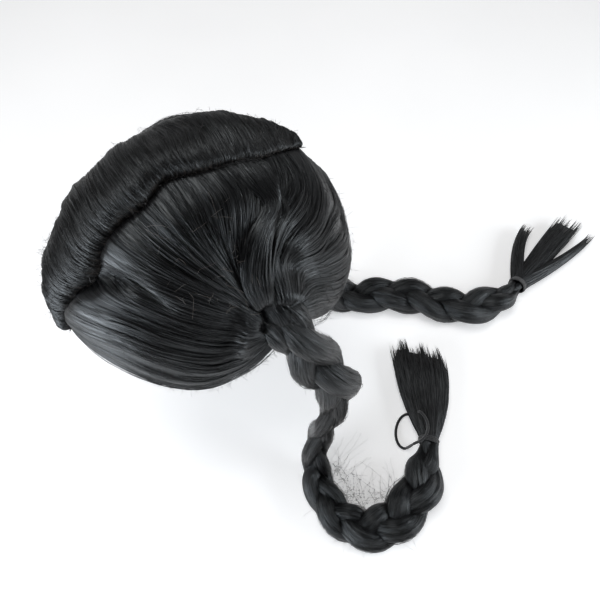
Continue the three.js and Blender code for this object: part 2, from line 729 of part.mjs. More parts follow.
const NEAR_SIDE = {
  label: 'left',
  side: 1,
  hanging: NEAR_HANGING,
  lying: NEAR_LYING,
  reach: NEAR_REACH,
  drop: NEAR_DROP,
  sections: NEAR_PLAIT,
  band: loopedBandGeometry,
  strips: NEAR_TAIL,
  tailLength: NEAR_TAIL_LENGTH,
  tailTurn: NEAR_TAIL_TURN,
};
const FAR_SIDE = {
  label: 'right',
  side: -1,
  hanging: FAR_HANGING,
  lying: FAR_LYING,
  reach: FAR_REACH,
  drop: FAR_DROP,
  sections: FAR_PLAIT,
  band: bandGeometry,
  strips: FAR_TAIL,
  tailLength: FAR_TAIL_LENGTH,
  tailTurn: FAR_TAIL_TURN,
};

const wig = new THREE.Group();
wig.add(named('cap', capGeometry(), CAP_LOOK));
wig.add(named('crest_roll', crestGeometry(), HAIR_LOOK));
buildSide(wig, NEAR_SIDE);
buildSide(wig, FAR_SIDE);

export default wig;
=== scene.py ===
import bpy
import numpy as np
from mathutils import Matrix, Vector


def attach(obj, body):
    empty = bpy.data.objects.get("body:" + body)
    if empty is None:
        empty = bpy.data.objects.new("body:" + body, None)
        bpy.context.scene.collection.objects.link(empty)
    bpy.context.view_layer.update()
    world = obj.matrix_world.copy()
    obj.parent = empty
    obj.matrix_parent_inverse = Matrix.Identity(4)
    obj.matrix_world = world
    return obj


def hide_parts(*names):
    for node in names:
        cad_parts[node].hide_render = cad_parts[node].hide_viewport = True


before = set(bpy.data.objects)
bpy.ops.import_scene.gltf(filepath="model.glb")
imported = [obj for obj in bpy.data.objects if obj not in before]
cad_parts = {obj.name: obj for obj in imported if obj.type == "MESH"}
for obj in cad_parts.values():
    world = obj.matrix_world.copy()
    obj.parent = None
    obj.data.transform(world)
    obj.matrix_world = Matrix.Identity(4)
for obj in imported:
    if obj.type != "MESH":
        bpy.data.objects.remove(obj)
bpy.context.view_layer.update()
MM = 0.001


def table(columns, *rows):
    """A table with named columns, each an array."""
    return dict(zip(columns.split(), np.array(rows, float).T))


# Head sizes, clearances and hair depths, as in the part
HEAD_WIDTH = 148
CROWN_TO_FOREHEAD = 97
CROWN_TO_BACK = 83
CROWN_TO_EAR_LINE = 98
CAP_WALL = 2
CROWN_ABOVE_SURFACE = 298
TABLE = -CROWN_ABOVE_SURFACE
LAYER_GAP = 1.2
PARTING_GAP = 0.4
HAIR_DEPTH = 11
FAR_FULLNESS = 0.7
BED_DEPTH = 7
BED_MARGIN = 1
LIP_WIDTH = 4
ROOT_DEPTH = 15
ROOT_BLEND = 0.75
ROOT_ROUND = 92
ROOT_ABOVE = 17
ROOT_RING_RADIUS = 17

# Guide strands of one side, in degrees round from the face and above the ear line
STRANDS = table(
    "leaves round1 above1 round2 above2 meets depth",
    (11, 32, 0, 60, -19, -70, 0.7),
    (20, 33, 23, 66, 7, -25, 1.12),
    (41, 42, 38, 71, 25, 15, 1.0),
    (60, 45, 54, 76, 36, 42, 1.0),
    (75, 62, 63, 83, 43, 63, 0.95),
    (88, 94, 66, 96, 47, 84, 0.95),
    (104, 124, 60, 110, 44, 105, 0.85),
    (122, 142, 46, 117, 34, 126, 0.75),
    (142, 152, 33, 121, 20, 150, 0.75),
    (168, 148, 4, 121, 4, 185, 1.2),
    (204, 150, -22, 117, -13, 232, 1.15),
)
LAST_STRAND = len(STRANDS["leaves"]) - 1
STRAND_ROWS = dict(STRANDS, at=np.arange(LAST_STRAND + 1.0))

# Creases between locks (negative) and raised locks (positive): the strand followed, half width in
# strands, height, and the stretch of the strand that they run along
RELIEF = table(
    "strand half height start end",
    (1.3, 0.45, 3.0, 0.05, 0.5),
    (2.5, 0.35, 2.5, 0.05, 0.45),
    (0.75, 0.15, -1.6, 0.3, 0.7),
    (3.1, 0.18, -1.4, 0.15, 0.5),
    (3.7, 0.3, 1.2, 0.1, 0.4),
    (4.35, 0.16, -1.6, 0.1, 0.5),
    (6.45, 0.16, -3.2, 0.3, 0.8),
    (7.0, 0.25, 1.2, 0.2, 0.7),
    (7.5, 0.16, -1.8, 0.3, 0.8),
    (8.1, 0.3, 1.6, 0.3, 0.8),
    (8.7, 0.16, -2.0, 0.2, 0.8),
    (9.3, 0.25, 1.2, 0.3, 0.9),
)
RELIEF_FADE = 0.1

# Hollows in the sweep: their middle by strand and place along it, half sizes, and depth
HOLLOWS = table(
    "strand along half_strand half_along depth",
    (3.9, 0.62, 0.9, 0.2, 3.5),
    (1.5, 0.05, 0.16, 0.04, 6.0),
    (1.8, 0.11, 0.16, 0.05, 7.5),
    (2.05, 0.18, 0.15, 0.06, 8.0),
    (2.2, 0.27, 0.14, 0.07, 7.0),
    (2.12, 0.37, 0.14, 0.07, 5.0),
    (2.75, 0.2, 0.35, 0.12, -2.5),
    (1.3, 0.2, 0.4, 0.15, -1.5),
    (3.3, 0.94, 0.6, 0.1, 8.0),
    (6.6, 0.86, 1.4, 0.1, 5.0),
    (1.7, 0.84, 0.9, 0.07, -3.5),
    (2.2, 1.0, 0.7, 0.06, 4.0),
)

# How far the strands have drifted towards the face by the time that they reach the root
DRIFT = table(
    "strand back",
    (0, 0),
    (1.5, 0),
    (3, 0.1),
    (4, 0.9),
    (5.3, 2.0),
    (6.3, 1.7),
    (7, 2.2),
    (8.2, 2.3),
    (9, 1.6),
    (10, 0),
)
DRIFT_FROM = 0.28
DRIFT_TO = 1.0

# Layers of relief: height, how often it repeats across the strands and along them, and its seed
LOCK_LAYERS = ((1.2, 1.4, 1.6, 0), (0.5, 4.2, 2.2, 1), (0.32, 11, 3, 2), (0.22, 27, 4, 3))
STRAY_LAYERS = ((0.12, 0.9, 2, 0), (0.05, 4, 3, 1))
CURVED_LAYERS = ((0.6, 3, 3, 0), (0.35, 8, 4, 1))
CREST_LAYERS = ((1.7, 0.11, 1.1, 41), (0.9, 0.34, 1.3, 42), (0.5, 0.9, 1.6, 43), (0.3, 2.4, 1.4, 45))

# Loose lock that curves over the sweep from the crown to the root: its two edges by strand, and how
# proud it stands
CURVED_LOCK = table(
    "along left right lift",
    (0.04, 4.9, 6.35, -1.5),
    (0.14, 5.35, 6.4, 0.3),
    (0.33, 5.45, 6.4, 1.8),
    (0.46, 5.55, 6.4, 3.0),
    (0.53, 5.15, 6.3, 3.6),
    (0.6, 4.55, 6.05, 4.2),
    (0.67, 3.95, 5.75, 4.6),
    (0.77, 3.4, 5.35, 4.6),
    (0.88, 3.2, 4.95, 3.4),
    (0.98, 3.15, 4.7, -1.0),
    (1.1, 3.1, 4.5, -8.0),
)

# Lower edge of the cap, in degrees above the ear line
CAP_HEM = table("around above", (0, 15), (35, 8), (65, -6), (95, -1), (125, -8), (150, -14), (180, -20))

# Crest by degrees over the head: reach of its near and far edges from the parting, and its height,
# as shares
CREST_NEAR = 17
CREST_FAR = 27
CREST_HEIGHT = 12
CREST = table(
    "over near far height",
    (9, 0.24, 0.42, 0.5),
    (20, 0.35, 0.62, 0.75),
    (32, 0.65, 0.8, 0.92),
    (42, 0.97, 0.9, 1),
    (50, 0.76, 0.97, 1),
    (60, 0.62, 1, 0.97),
    (70, 0.7, 1, 0.9),
    (78, 0.47, 1, 0.78),
    (88, 0.82, 1, 0.65),
    (102, 1, 0.86, 0.52),
    (112, 1, 0.68, 0.45),
    (128, 0.6, 0.38, 0.35),
    (141, 0.18, 0.09, 0.17),
)
CREST_ROUNDNESS = 0.8

# Plaits, with widths and thicknesses along the braided length as shares
PLAIT_WIDTH = 28
PLAIT_THICKNESS = 25
LOCKS = 3
LOCK = {"swing": 0.27, "half_width": 0.265, "rise": 0.17, "half_thickness": 0.35}
BAND_WIDTH = 8
BAND_WALL = 1.6
NECK_WIDTH = 15
BAND_OUTSIDE = NECK_WIDTH / 2 + LAYER_GAP + BAND_WALL
NEAR_PLAIT = table(
    "along width thickness",
    (0, 0.9, 0.95),
    (0.12, 1.2, 1.15),
    (0.24, 1.22, 1.15),
    (0.31, 0.72, 0.8),
    (0.46, 0.7, 0.82),
    (0.6, 0.92, 0.93),
    (0.84, 1.36, 1.1),
    (0.93, 1.26, 0.95),
    (0.968, 0.74, 0.66),
    (1, 0.57, 0.6),
)
FAR_PLAIT = table(
    "along width thickness",
    (0, 0.9, 0.95),
    (0.12, 1.1, 1.1),
    (0.5, 1.22, 1.0),
    (0.85, 1.28, 1.05),
    (0.94, 1.05, 0.9),
    (0.973, 0.54, 0.57),
    (1, 0.51, 0.56),
)

# Routes: places counted from the root outwards and backwards as shares of the reach, and down as
# shares of the drop, then where the plait lies
NEAR_REACH, NEAR_DROP = 129, 187
FAR_REACH, FAR_DROP = 289, 172
NEAR_HANGING = table(
    "out back down",
    (0.209, 0.07, 0.155),
    (0.287, 0.132, 0.294),
    (0.333, 0.186, 0.433),
    (0.349, 0.171, 0.561),
    (0.341, 0.132, 0.786),
    (0.333, 0.078, 1),
)
NEAR_LYING = table(
    "out back",
    (0.434, 0),
    (0.597, -0.054),
    (0.76, -0.054),
    (0.915, 0.016),
    (1, 0.171),
    (0.977, 0.395),
    (0.876, 0.605),
    (0.721, 0.783),
)
FAR_HANGING = table(
    "out back down",
    (0.087, 0.055, 0.163),
    (0.066, 0.145, 0.39),
    (-0.024, 0.266, 0.68),
    (-0.142, 0.363, 1),
)
FAR_LYING = table(
    "out back",
    (-0.253, 0.446),
    (-0.308, 0.536),
    (-0.367, 0.623),
    (-0.45, 0.692),
    (-0.529, 0.761),
    (-0.571, 0.862),
    (-0.581, 0.952),
    (-0.571, 1),
)

# Tails: strips by their lean, length and width as shares of the tail's length, and their thickness
TAIL_THICKNESS = 15
TAIL_FULLEST = 1.1
NEAR_TAIL = table(
    "lean length width thickness",
    (-0.22, 1.0, 0.12, 1.0),
    (-0.12, 1.0, 0.12, 1.1),
    (-0.02, 0.98, 0.12, 1.1),
    (0.08, 0.94, 0.12, 1.1),
    (0.17, 0.88, 0.12, 1.0),
)
FAR_TAIL = table(
    "lean length width thickness",
    (-0.24, 0.68, 0.1, 0.8),
    (0.03, 1.0, 0.13, 1.0),
    (0.13, 1.0, 0.13, 1.0),
    (0.32, 0.92, 0.06, 0.8),
)

# Loose loop of the near elastic
LOOP_WIRE = 3
LOOP_REACH = 10
LOOP_HALF_LENGTH = 17
LOOP_SHIFT = 8
LOOP_SEAT = 0.02


UP = np.array([0.0, 0.0, 1.0])


def unit_of(vectors):
    return vectors / np.maximum(np.linalg.norm(vectors, axis=-1, keepdims=True), 1e-9)


def mix(a, b, share):
    return a + (b - a) * share


def smooth_step(low, high, value):
    share = np.clip((value - low) / (high - low), 0, 1)
    return share * share * (3 - 2 * share)


def smooth(rows, key, column, place):
    """A smooth value between the rows of a table."""
    x, y = rows[key], rows[column]
    place = np.clip(place, x[0], x[-1])
    at = np.clip(np.searchsorted(x, place, side="right") - 1, 0, len(x) - 2)
    span = x[at + 1] - x[at]
    share = (place - x[at]) / span
    before = np.maximum(np.arange(len(x)) - 1, 0)
    after = np.minimum(np.arange(len(x)) + 1, len(x) - 1)
    slope = (y[after] - y[before]) / (x[after] - x[before])
    turned = 3 * share**2 - 2 * share**3
    values = (1 - turned) * y[at] + turned * y[at + 1]
    bends = (share**3 - 2 * share**2 + share) * slope[at] + (share**3 - share**2) * slope[at + 1]
    return values + bends * span


def spline(points, places):
    """Centripetal curves through points (..., n, 3), at places from 0 to 1."""
    first = 2 * points[..., :1, :] - points[..., 1:2, :]
    last = 2 * points[..., -1:, :] - points[..., -2:-1, :]
    padded = np.concatenate([first, points, last], -2)
    reach = np.asarray(places) * (points.shape[-2] - 1)
    at = np.clip(np.floor(reach).astype(int), 0, points.shape[-2] - 2)
    weight = (reach - at)[..., None]
    p0, p1, p2, p3 = (padded[..., at + k, :] for k in range(4))
    gap = [np.sqrt(np.linalg.norm(b - a, axis=-1, keepdims=True)) for a, b in ((p0, p1), (p1, p2), (p2, p3))]
    middle = np.maximum(gap[1], 1e-4)
    d0, d2 = (np.where(g < 1e-4, middle, g) for g in (gap[0], gap[2]))
    t1 = ((p1 - p0) / d0 - (p2 - p0) / (d0 + middle) + (p2 - p1) / middle) * middle
    t2 = ((p2 - p1) / middle - (p3 - p1) / (middle + d2) + (p3 - p2) / d2) * middle
    square = -3 * p1 + 3 * p2 - 2 * t1 - t2
    cube = 2 * p1 - 2 * p2 + t1 + t2
    return p1 + t1 * weight + square * weight**2 + cube * weight**3


def ripple(across, along, seed):
    """Smooth noise from -1 to 1 over a plane."""
    lattice = np.random.default_rng(seed).uniform(-1, 1, (128, 128))
    across, along = np.broadcast_arrays(across, along)
    i, j = np.floor(across).astype(int), np.floor(along).astype(int)
    u, v = (smooth_step(0, 1, part) for part in (across - i, along - j))
    low = mix(lattice[i % 128, j % 128], lattice[(i + 1) % 128, j % 128], u)
    high = mix(lattice[i % 128, (j + 1) % 128], lattice[(i + 1) % 128, (j + 1) % 128], u)
    return mix(low, high, v)


def layered(layers, across, along, seed=0):
    """Relief in layers, each with its height, how often it repeats across and along, and its seed."""
    height = 0
    for rise, crosswise, lengthwise, own in layers:
        height = height + rise * ripple(across * crosswise, along * lengthwise, seed + own)
    return height


def ridges(count, height):
    """Heights that go up and down from one strand to the next."""
    return height * np.where(np.arange(count) % 2, 1, -1)


def turns_round(count):
    """Angles of columns evenly round a circle."""
    return np.arange(count) * 2 * np.pi / count


def arched(step, rise, dip=0.4):
    """Lift of strands over a surface. They start and end a dip below it."""
    return (dip + rise[:, None]) * np.sin(np.pi * step) ** 0.5 - dip


def tapered(widths, step, first=0.05, last=0.95):
    """Widths of strands along their length, thin at both ends."""
    return widths[:, None] * np.sin(np.pi * np.clip(step, first, last)) ** 0.4


def rooted(place, count):
    """Starts of hairs on a surface, and the ways straight out of it there."""
    starts = place(np.zeros(count))
    return starts, unit_of(place(np.ones(count)) - starts)


def direction(around, above):
    turn, rise = np.radians(around), np.radians(above)
    turn, rise = np.broadcast_arrays(turn, rise)
    return np.stack([np.cos(rise) * np.sin(turn), -np.cos(rise) * np.cos(turn), np.sin(rise)], -1)


def half_axes(unit):
    lengthwise = np.where(unit[..., 1] < 0, CROWN_TO_FOREHEAD, CROWN_TO_BACK)
    widths = np.full(lengthwise.shape, HEAD_WIDTH / 2)
    return np.stack([widths, lengthwise, np.full(lengthwise.shape, CROWN_TO_EAR_LINE)], -1) + CAP_WALL


def on_head(unit, height):
    """A place at a height over the outside of the cap."""
    half = half_axes(unit)
    place = unit * half + unit_of(unit / half) * np.asarray(height)[..., None]
    return place - np.array([0, 0, CROWN_TO_EAR_LINE])


def over_head(unit):
    """Degrees over the head from the face, of a direction near the middle plane."""
    over = np.degrees(np.arctan2(unit[..., 2], -unit[..., 1]))
    return np.where(over < -90, over + 360, over)


ROOT_UNIT = direction(ROOT_ROUND, ROOT_ABOVE)


def root_ring(degrees):
    """Where a strand meets the ring of gathered hair."""
    turn = np.radians(degrees)[..., None]
    to_face = np.array([0, -1, 0]) + ROOT_UNIT[1] * ROOT_UNIT
    upwards = np.array([0, 0, 1]) - ROOT_UNIT[2] * ROOT_UNIT
    spread = ROOT_RING_RADIUS / (CROWN_TO_EAR_LINE + CAP_WALL + HAIR_DEPTH)
    offset = unit_of(to_face) * np.cos(turn) + unit_of(upwards) * np.sin(turn)
    return unit_of(ROOT_UNIT + offset * spread)


def flow_map(strands, steps):
    """Directions of the flow lines of the left side, by strand and by place along it."""
    strand = np.linspace(0, LAST_STRAND, strands)
    stops = [
        direction(0, STRANDS["leaves"]),
        direction(STRANDS["round1"], STRANDS["above1"]),
        direction(STRANDS["round2"], STRANDS["above2"]),
    ]
    places = [unit_of(spline(points, strand / LAST_STRAND)) for points in stops]
    places.append(root_ring(smooth(STRAND_ROWS, "at", "meets", strand)))
    return unit_of(spline(np.stack(places, 1), np.linspace(0, 1, steps)))


FLOW = flow_map(501, 161)


def flow(strand, along):
    """Direction from the head's middle at a place along a strand."""
    strand, along = np.broadcast_arrays(strand, along)
    x = np.clip(strand / LAST_STRAND, 0, 1) * (FLOW.shape[0] - 1)
    y = np.clip(along, 0, 1) * (FLOW.shape[1] - 1)
    i, j = (np.minimum(np.floor(v).astype(int), n - 2) for v, n in ((x, FLOW.shape[0]), (y, FLOW.shape[1])))
    u, v = (x - i)[..., None], (y - j)[..., None]
    low = mix(FLOW[i, j], FLOW[i + 1, j], u)
    high = mix(FLOW[i, j + 1], FLOW[i + 1, j + 1], u)
    return unit_of(mix(low, high, v))


def bed_edge(unit, side):
    """Reach of the crest's edge from the parting, where a direction passes beside it."""
    column, most = ("near", CREST_NEAR) if side > 0 else ("far", CREST_FAR)
    return most * smooth(CREST, "over", column, over_head(unit)) + BED_MARGIN


def hair_depth(strand, along, unit, side):
    """Depth of the swept hair at a place along a strand."""
    fullness = 1 if side > 0 else FAR_FULLNESS
    depth = HAIR_DEPTH * fullness * smooth(STRAND_ROWS, "at", "depth", strand)
    own = undrifted(strand, along)
    for middle, half, height, start, end in zip(*RELIEF.values()):
        across = np.exp(-(((own - middle) / half) ** 2))
        begun = smooth_step(start - RELIEF_FADE, start + RELIEF_FADE, along)
        ended = smooth_step(end - RELIEF_FADE, end + RELIEF_FADE, along)
        depth = depth + height * fullness * across * begun * (1 - ended)
    depth = depth + layered(LOCK_LAYERS, own, along, 10 if side > 0 else 20)
    depth = mix(depth, ROOT_DEPTH, smooth_step(ROOT_BLEND, 1, along)) - hollowed(strand, along)
    beside = on_head(unit, np.full(unit.shape[:-1], BED_DEPTH))[..., 0]
    edge = bed_edge(unit, side)
    return mix(BED_DEPTH, depth, smooth_step(edge, edge + LIP_WIDTH, beside))


def hollowed(strand, along):
    """Depth taken off by the hollows."""
    depth = 0
    for middle, place, half, reach, deep in zip(*HOLLOWS.values()):
        depth = depth + deep * np.exp(-(((strand - middle) / half) ** 2) - ((along - place) / reach) ** 2)
    return depth


def drifted(strand, along):
    """Strands drift towards the face near the root."""
    return strand - smooth(DRIFT, "strand", "back", strand) * smooth_step(DRIFT_FROM, DRIFT_TO, along)


def undrifted(strand, along):
    """The strand that has drifted to this place, found by halving."""
    low, high = np.zeros_like(strand * along), LAST_STRAND + np.zeros_like(strand * along)
    for _ in range(9):
        middle = (low + high) / 2
        over = drifted(middle, along) > strand
        low, high = np.where(over, low, middle), np.where(over, middle, high)
    return (low + high) / 2


def wandered(strand, along, seed):
    """Strands drift, and stray a little from their lines on the way."""
    free = np.sin(np.pi * np.clip(along, 0, 1)) ** 0.5
    return drifted(strand, along) + free * layered(STRAY_LAYERS, strand, along, seed)


# Points worked out on a plait's route, the length of its steps, and the band's height over the table
ROUTE_POINTS = 4001
ROUTE_STEP = 2.8
BAND_ABOVE = 0.4


class Plait:
    """Route of a plait, with frames that face up where it lies."""

    def __init__(self, hanging, lying, reach, drop, side, sections, turns):
        self.side, self.sections = side, sections
        base = on_head(ROOT_UNIT, 0.4)
        neck = on_head(ROOT_UNIT, ROOT_DEPTH)
        ways = zip(*hanging.values())
        hangs = [base + (out * reach, back * reach, -down * drop) for out, back, down in ways]
        start = len(hangs) / (len(hangs) + len(lying["out"]))
        lies = []
        for at, (out, back) in enumerate(zip(*lying.values()), 1):
            share = mix(start, 1, at / len(lying["out"]))
            thickness = PLAIT_THICKNESS * smooth(sections, "along", "thickness", share)
            rise = BAND_OUTSIDE + BAND_ABOVE if share == 1 else thickness / 2 + LAYER_GAP
            lies.append((base[0] + out * reach, base[1] + back * reach, TABLE + rise))
        points = np.array([base, neck, *hangs, *lies]) * ((side, 1, 1))
        dense = spline(points, np.linspace(0, 1, ROUTE_POINTS))
        gone = np.r_[0, np.cumsum(np.linalg.norm(np.diff(dense, axis=0), axis=1))]
        self.length = gone[-1]
        self.steps = int(self.length / ROUTE_STEP)
        self.along = np.linspace(0, self.length, self.steps + 1)
        self.share = self.along / self.length
        self.phase = (smooth(turns, "along", "thirds", self.share) * 2 / 3 + 0.5) * np.pi
        self.points = np.stack([np.interp(self.along, gone, dense[:, k]) for k in range(3)], -1)
        self.tangents = unit_of(np.gradient(self.points, axis=0))
        face = UP
        faces = []
        for tangent in self.tangents[::-1]:
            face = unit_of(face - tangent * (face @ tangent))
            faces.append(face)
        self.faces = np.array(faces[::-1])
        self.sides = unit_of(np.cross(self.tangents, self.faces))

    def at(self, values, along):
        """Values at frames, worked out at lengths along the route."""
        place = np.asarray(along) / self.length * self.steps
        return np.stack([np.interp(place, np.arange(self.steps + 1), values[:, k]) for k in range(3)], -1)

    def sizes(self, share):
        width = PLAIT_WIDTH * smooth(self.sections, "along", "width", share)
        thickness = PLAIT_THICKNESS * smooth(self.sections, "along", "thickness", share)
        return width, thickness


# Where along the braided length the outer side of the plait is fullest, counted in thirds of a turn
NEAR_TURNS = table(
    "along thirds",
    (0, -2.6),
    (0.177, -1),
    (0.303, 0),
    (0.431, 1),
    (0.543, 2),
    (0.625, 3),
    (0.692, 4),
    (0.757, 5),
    (0.828, 6),
    (0.909, 7),
    (1, 8),
)
FAR_TURNS = table("along thirds", (0, -2.6), (0.2, 0), (0.5, 4), (0.8, 8), (1, 10.5))

NEAR = Plait(NEAR_HANGING, NEAR_LYING, NEAR_REACH, NEAR_DROP, 1, NEAR_PLAIT, NEAR_TURNS)
FAR = Plait(FAR_HANGING, FAR_LYING, FAR_REACH, FAR_DROP, -1, FAR_PLAIT, FAR_TURNS)

# Past the root ring the strands run into the plait: how much further they are counted, how far they
# go in it, and the radius that they draw in to
GATHER = 0.16
GATHER_LENGTH = 34
GATHER_RADIUS = 5


def hair_place(plait, strand, along, lift):
    """A place on the swept hair of a plait's side, at a lift over its surface, on into the plait."""
    strand, along, lift = np.broadcast_arrays(strand, along, lift)
    unit = flow(strand, along)
    depth = hair_depth(strand, np.clip(along, 0, 1), unit, plait.side)
    swept = on_head(unit, LAYER_GAP + depth + lift)
    past = np.clip((along - 1) / GATHER, 0, 1)
    mirror = np.array([plait.side, 1, 1])
    inside = ROOT_DEPTH / 2 + past * GATHER_LENGTH
    centre = plait.at(plait.points, inside) * mirror
    tangent = unit_of(plait.at(plait.tangents, inside)) * mirror
    spoke = on_head(unit, np.full(unit.shape[:-1], ROOT_DEPTH)) - on_head(ROOT_UNIT, ROOT_DEPTH)
    spoke = unit_of(spoke - tangent * np.sum(spoke * tangent, -1, keepdims=True))
    radius = mix(ROOT_RING_RADIUS, GATHER_RADIUS, smooth_step(0, 0.7, past)) + lift
    gathered = centre + spoke * radius[..., None]
    return mix(swept, gathered, smooth_step(0, 0.75, past)[..., None]) * mirror


# Radius of the fine hairs, and a full turn in the strand coordinate
FINE_HAIR = 0.085
ROUND = 6.3


class Shape:
    """Points, four-sided faces and strand coordinates of one piece, gathered bit by bit."""

    def __init__(self):
        self.points, self.quads, self.uvs, self.pale, self.count = [], [], [], [], 0

    def grid(self, points, across, along, pale=0.0, wraps=False, flip=False):
        """Rows and columns of points. The last two axes are columns and x, y, z."""
        *_, rows, columns, _ = points.shape
        index = self.count + np.arange(points[..., 0].size).reshape(-1, rows, columns)
        if wraps:
            index = np.concatenate([index, index[..., :1]], -1)
        corners = [index[:, :-1, :-1], index[:, :-1, 1:], index[:, 1:, 1:], index[:, 1:, :-1]]
        if flip:
            corners.reverse()
        self.quads.append(np.stack(corners, -1).reshape(-1, 4))
        self.points.append(points.reshape(-1, 3))
        shape = points.shape[:-1]
        uv = np.stack([np.broadcast_to(across, shape), np.broadcast_to(along, shape)], -1)
        self.uvs.append(uv.reshape(-1, 2))
        self.pale.append(np.broadcast_to(pale, shape).ravel())
        self.count += points[..., 0].size

    def ribbons(self, lines, faces, widths, across, pale=0.0):
        """Strands with a raised middle. lines and faces are by strand and step."""
        sides = unit_of(np.cross(unit_of(np.gradient(lines, axis=1)), faces))
        half = np.broadcast_to(widths, lines.shape[:2])[..., None] / 2
        points = np.stack([lines - sides * half, lines + faces * half * 0.7, lines + sides * half], 2)
        along = np.linspace(0, 1, lines.shape[1])[None, :, None]
        spread = across[:, None, None] + np.array([-1, 0, 1]) * 0.0008
        self.grid(points, spread, along, np.asarray(pale)[..., None])

    def tubes(self, lines, radii, sides, across, pale=0.0):
        """Round strands or cords."""
        tangents = unit_of(np.gradient(lines, axis=1))
        guide = np.where(np.abs(tangents[..., 2:]) < 0.9, [0.0, 0, 1], [1.0, 0, 0])
        first = unit_of(np.cross(tangents, guide))
        second = np.cross(tangents, first)
        turn = turns_round(sides)
        radii = np.broadcast_to(radii, lines.shape[:2])[..., None, None]
        ring = first[:, :, None] * np.cos(turn)[:, None] + second[:, :, None] * np.sin(turn)[:, None]
        points = lines[:, :, None] + ring * radii
        along = np.linspace(0, 1, lines.shape[1])[None, :, None]
        spread = across[:, None, None] + np.arange(sides) * 0.0004
        self.grid(points, spread, along, np.asarray(pale)[..., None], wraps=True)

    def strands(self, place, lift, widths, rng, pale=0.0):
        """Strands over a surface, by a function that gives their places for a lift."""
        lines = place(lift)
        faces = unit_of(place(lift + 1) - lines)
        self.ribbons(lines, faces, widths, rng.uniform(0, 1, len(lines)), pale)

    def hairs(self, lines, rng, pale=0.0):
        """Fine hairs."""
        self.tubes(lines, FINE_HAIR, 3, rng.uniform(0, 1, len(lines)), pale)

    def build(self, name, node, slot, material):
        """The piece, as it stands in for a node of the part."""
        points, quads = np.concatenate(self.points), np.concatenate(self.quads)
        points[:, 2] = np.maximum(points[:, 2], TABLE + 0.1)
        mesh = bpy.data.meshes.new(name)
        mesh.vertices.add(len(points))
        mesh.vertices.foreach_set("co", (points * MM).astype(np.float32).ravel())
        mesh.loops.add(quads.size)
        mesh.loops.foreach_set("vertex_index", quads.astype(np.int32).ravel())
        mesh.polygons.add(len(quads))
        mesh.polygons.foreach_set("loop_start", np.arange(0, quads.size, 4, dtype=np.int32))
        mesh.polygons.foreach_set("loop_total", np.full(len(quads), 4, np.int32))
        mesh.polygons.foreach_set("use_smooth", np.ones(len(quads), bool))
        mesh.update(calc_edges=True)
        layer = mesh.uv_layers.new(name="strand")
        uvs = np.concatenate(self.uvs)[quads.ravel()]
        layer.uv.foreach_set("vector", uvs.astype(np.float32).ravel())
        pale = mesh.attributes.new("pale", "FLOAT", "POINT")
        pale.data.foreach_set("value", np.concatenate(self.pale).astype(np.float32))
        mesh.materials.append(material)
        piece = bpy.data.objects.new(name, mesh)
        bpy.context.scene.collection.objects.link(piece)
        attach(piece, "root")
        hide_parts(node)
        print(name, 2 * len(quads), "triangles")


# Rows of the swept hair, its ridges, two columns to each, and its inside
HAIR_ROWS = 62
RIDGE = 0.16
HEM_ROUND = 0.22
INNER_COLUMNS = 61
INNER_ROWS = 31


def hem_share(strand):
    """How much of its depth the hair has near the front hairline and the nape, where it rolls in."""
    inside = np.minimum(strand, LAST_STRAND - strand) / HEM_ROUND
    return np.sqrt(np.clip(1 - (1 - np.clip(inside, 0, 1)) ** 2, 0, 1))


def swept_hair(plait, columns, seed):
    """Closed sweep of ridged hair of one side, with its inside."""
    shape = Shape()
    column = np.linspace(0, LAST_STRAND, columns)[:, None]
    along = np.linspace(0, 1 + GATHER, HAIR_ROWS)[None, :]
    strand = wandered(column, along, seed)
    depth = hair_depth(strand, np.clip(along, 0, 1), flow(strand, along), plait.side)
    lift = ridges(columns, RIDGE)[:, None] + (hem_share(column) - 1) * depth
    points = hair_place(plait, strand, along, lift)
    points[..., 0] = np.where(along == 0, plait.side * PARTING_GAP / 2, points[..., 0])
    shape.grid(points, column / LAST_STRAND, along, flip=plait.side > 0)
    column = np.linspace(0, LAST_STRAND, INNER_COLUMNS)[:, None]
    along = np.linspace(0, 1, INNER_ROWS)[None, :]
    inner = on_head(flow(column, along), np.full((INNER_COLUMNS, INNER_ROWS), LAYER_GAP))
    shape.grid(inner * (plait.side, 1, 1), column / LAST_STRAND, along, flip=plait.side < 0)
    return shape


LOOSE_STEPS = 17
STRANDS_IN_TRESS = 9
CURVED_COLUMNS = 66
CURVED_ROWS = 70


def loose_strands(plait, shape, count, seed):
    """Strands that lie over the sweep in small tresses, and dip into it at their ends."""
    rng = np.random.default_rng(seed)
    tress = rng.uniform(0.05, LAST_STRAND - 0.05, count // STRANDS_IN_TRESS)
    member = rng.integers(0, len(tress), count)
    start = rng.uniform(0.0, 0.45, len(tress))[member] + rng.uniform(0, 0.12, count)
    end = rng.uniform(0.7, 1.14, len(tress))[member] + rng.uniform(-0.1, 0.0, count)
    step = np.linspace(0, 1, LOOSE_STEPS)
    along = mix(start[:, None], end[:, None], step)
    offset = rng.normal(0, 0.06, count)[:, None] * (1 - 0.6 * np.sin(np.pi * step))
    strand = wandered(np.clip(tress[member][:, None] + offset, 0.02, LAST_STRAND - 0.02), along, seed)
    lift = arched(step, 1.5 * rng.uniform(0.1, 1.0, count) ** 1.5, 0.5)
    widths = tapered(rng.uniform(0.26, 0.7, count), step, 0.04, 0.96)
    shape.strands(lambda up: hair_place(plait, strand, along, up), lift, widths, rng)


def curls(starts, headings, lengths, curl, steps, rng):
    """Lines of fine hairs that set out in their headings and curl at random."""
    count = len(starts)
    turn = rng.normal(0, curl, (count, steps, 3))
    drift = np.cumsum(turn, 1) + rng.normal(0, curl * 0.6, (count, 1, 3)) * np.arange(steps)[None, :, None]
    heading = unit_of(headings[:, None] + drift)
    step = (np.asarray(lengths) / steps)[:, None, None]
    return starts[:, None] + np.cumsum(heading * step, 1) - heading[:, :1] * step


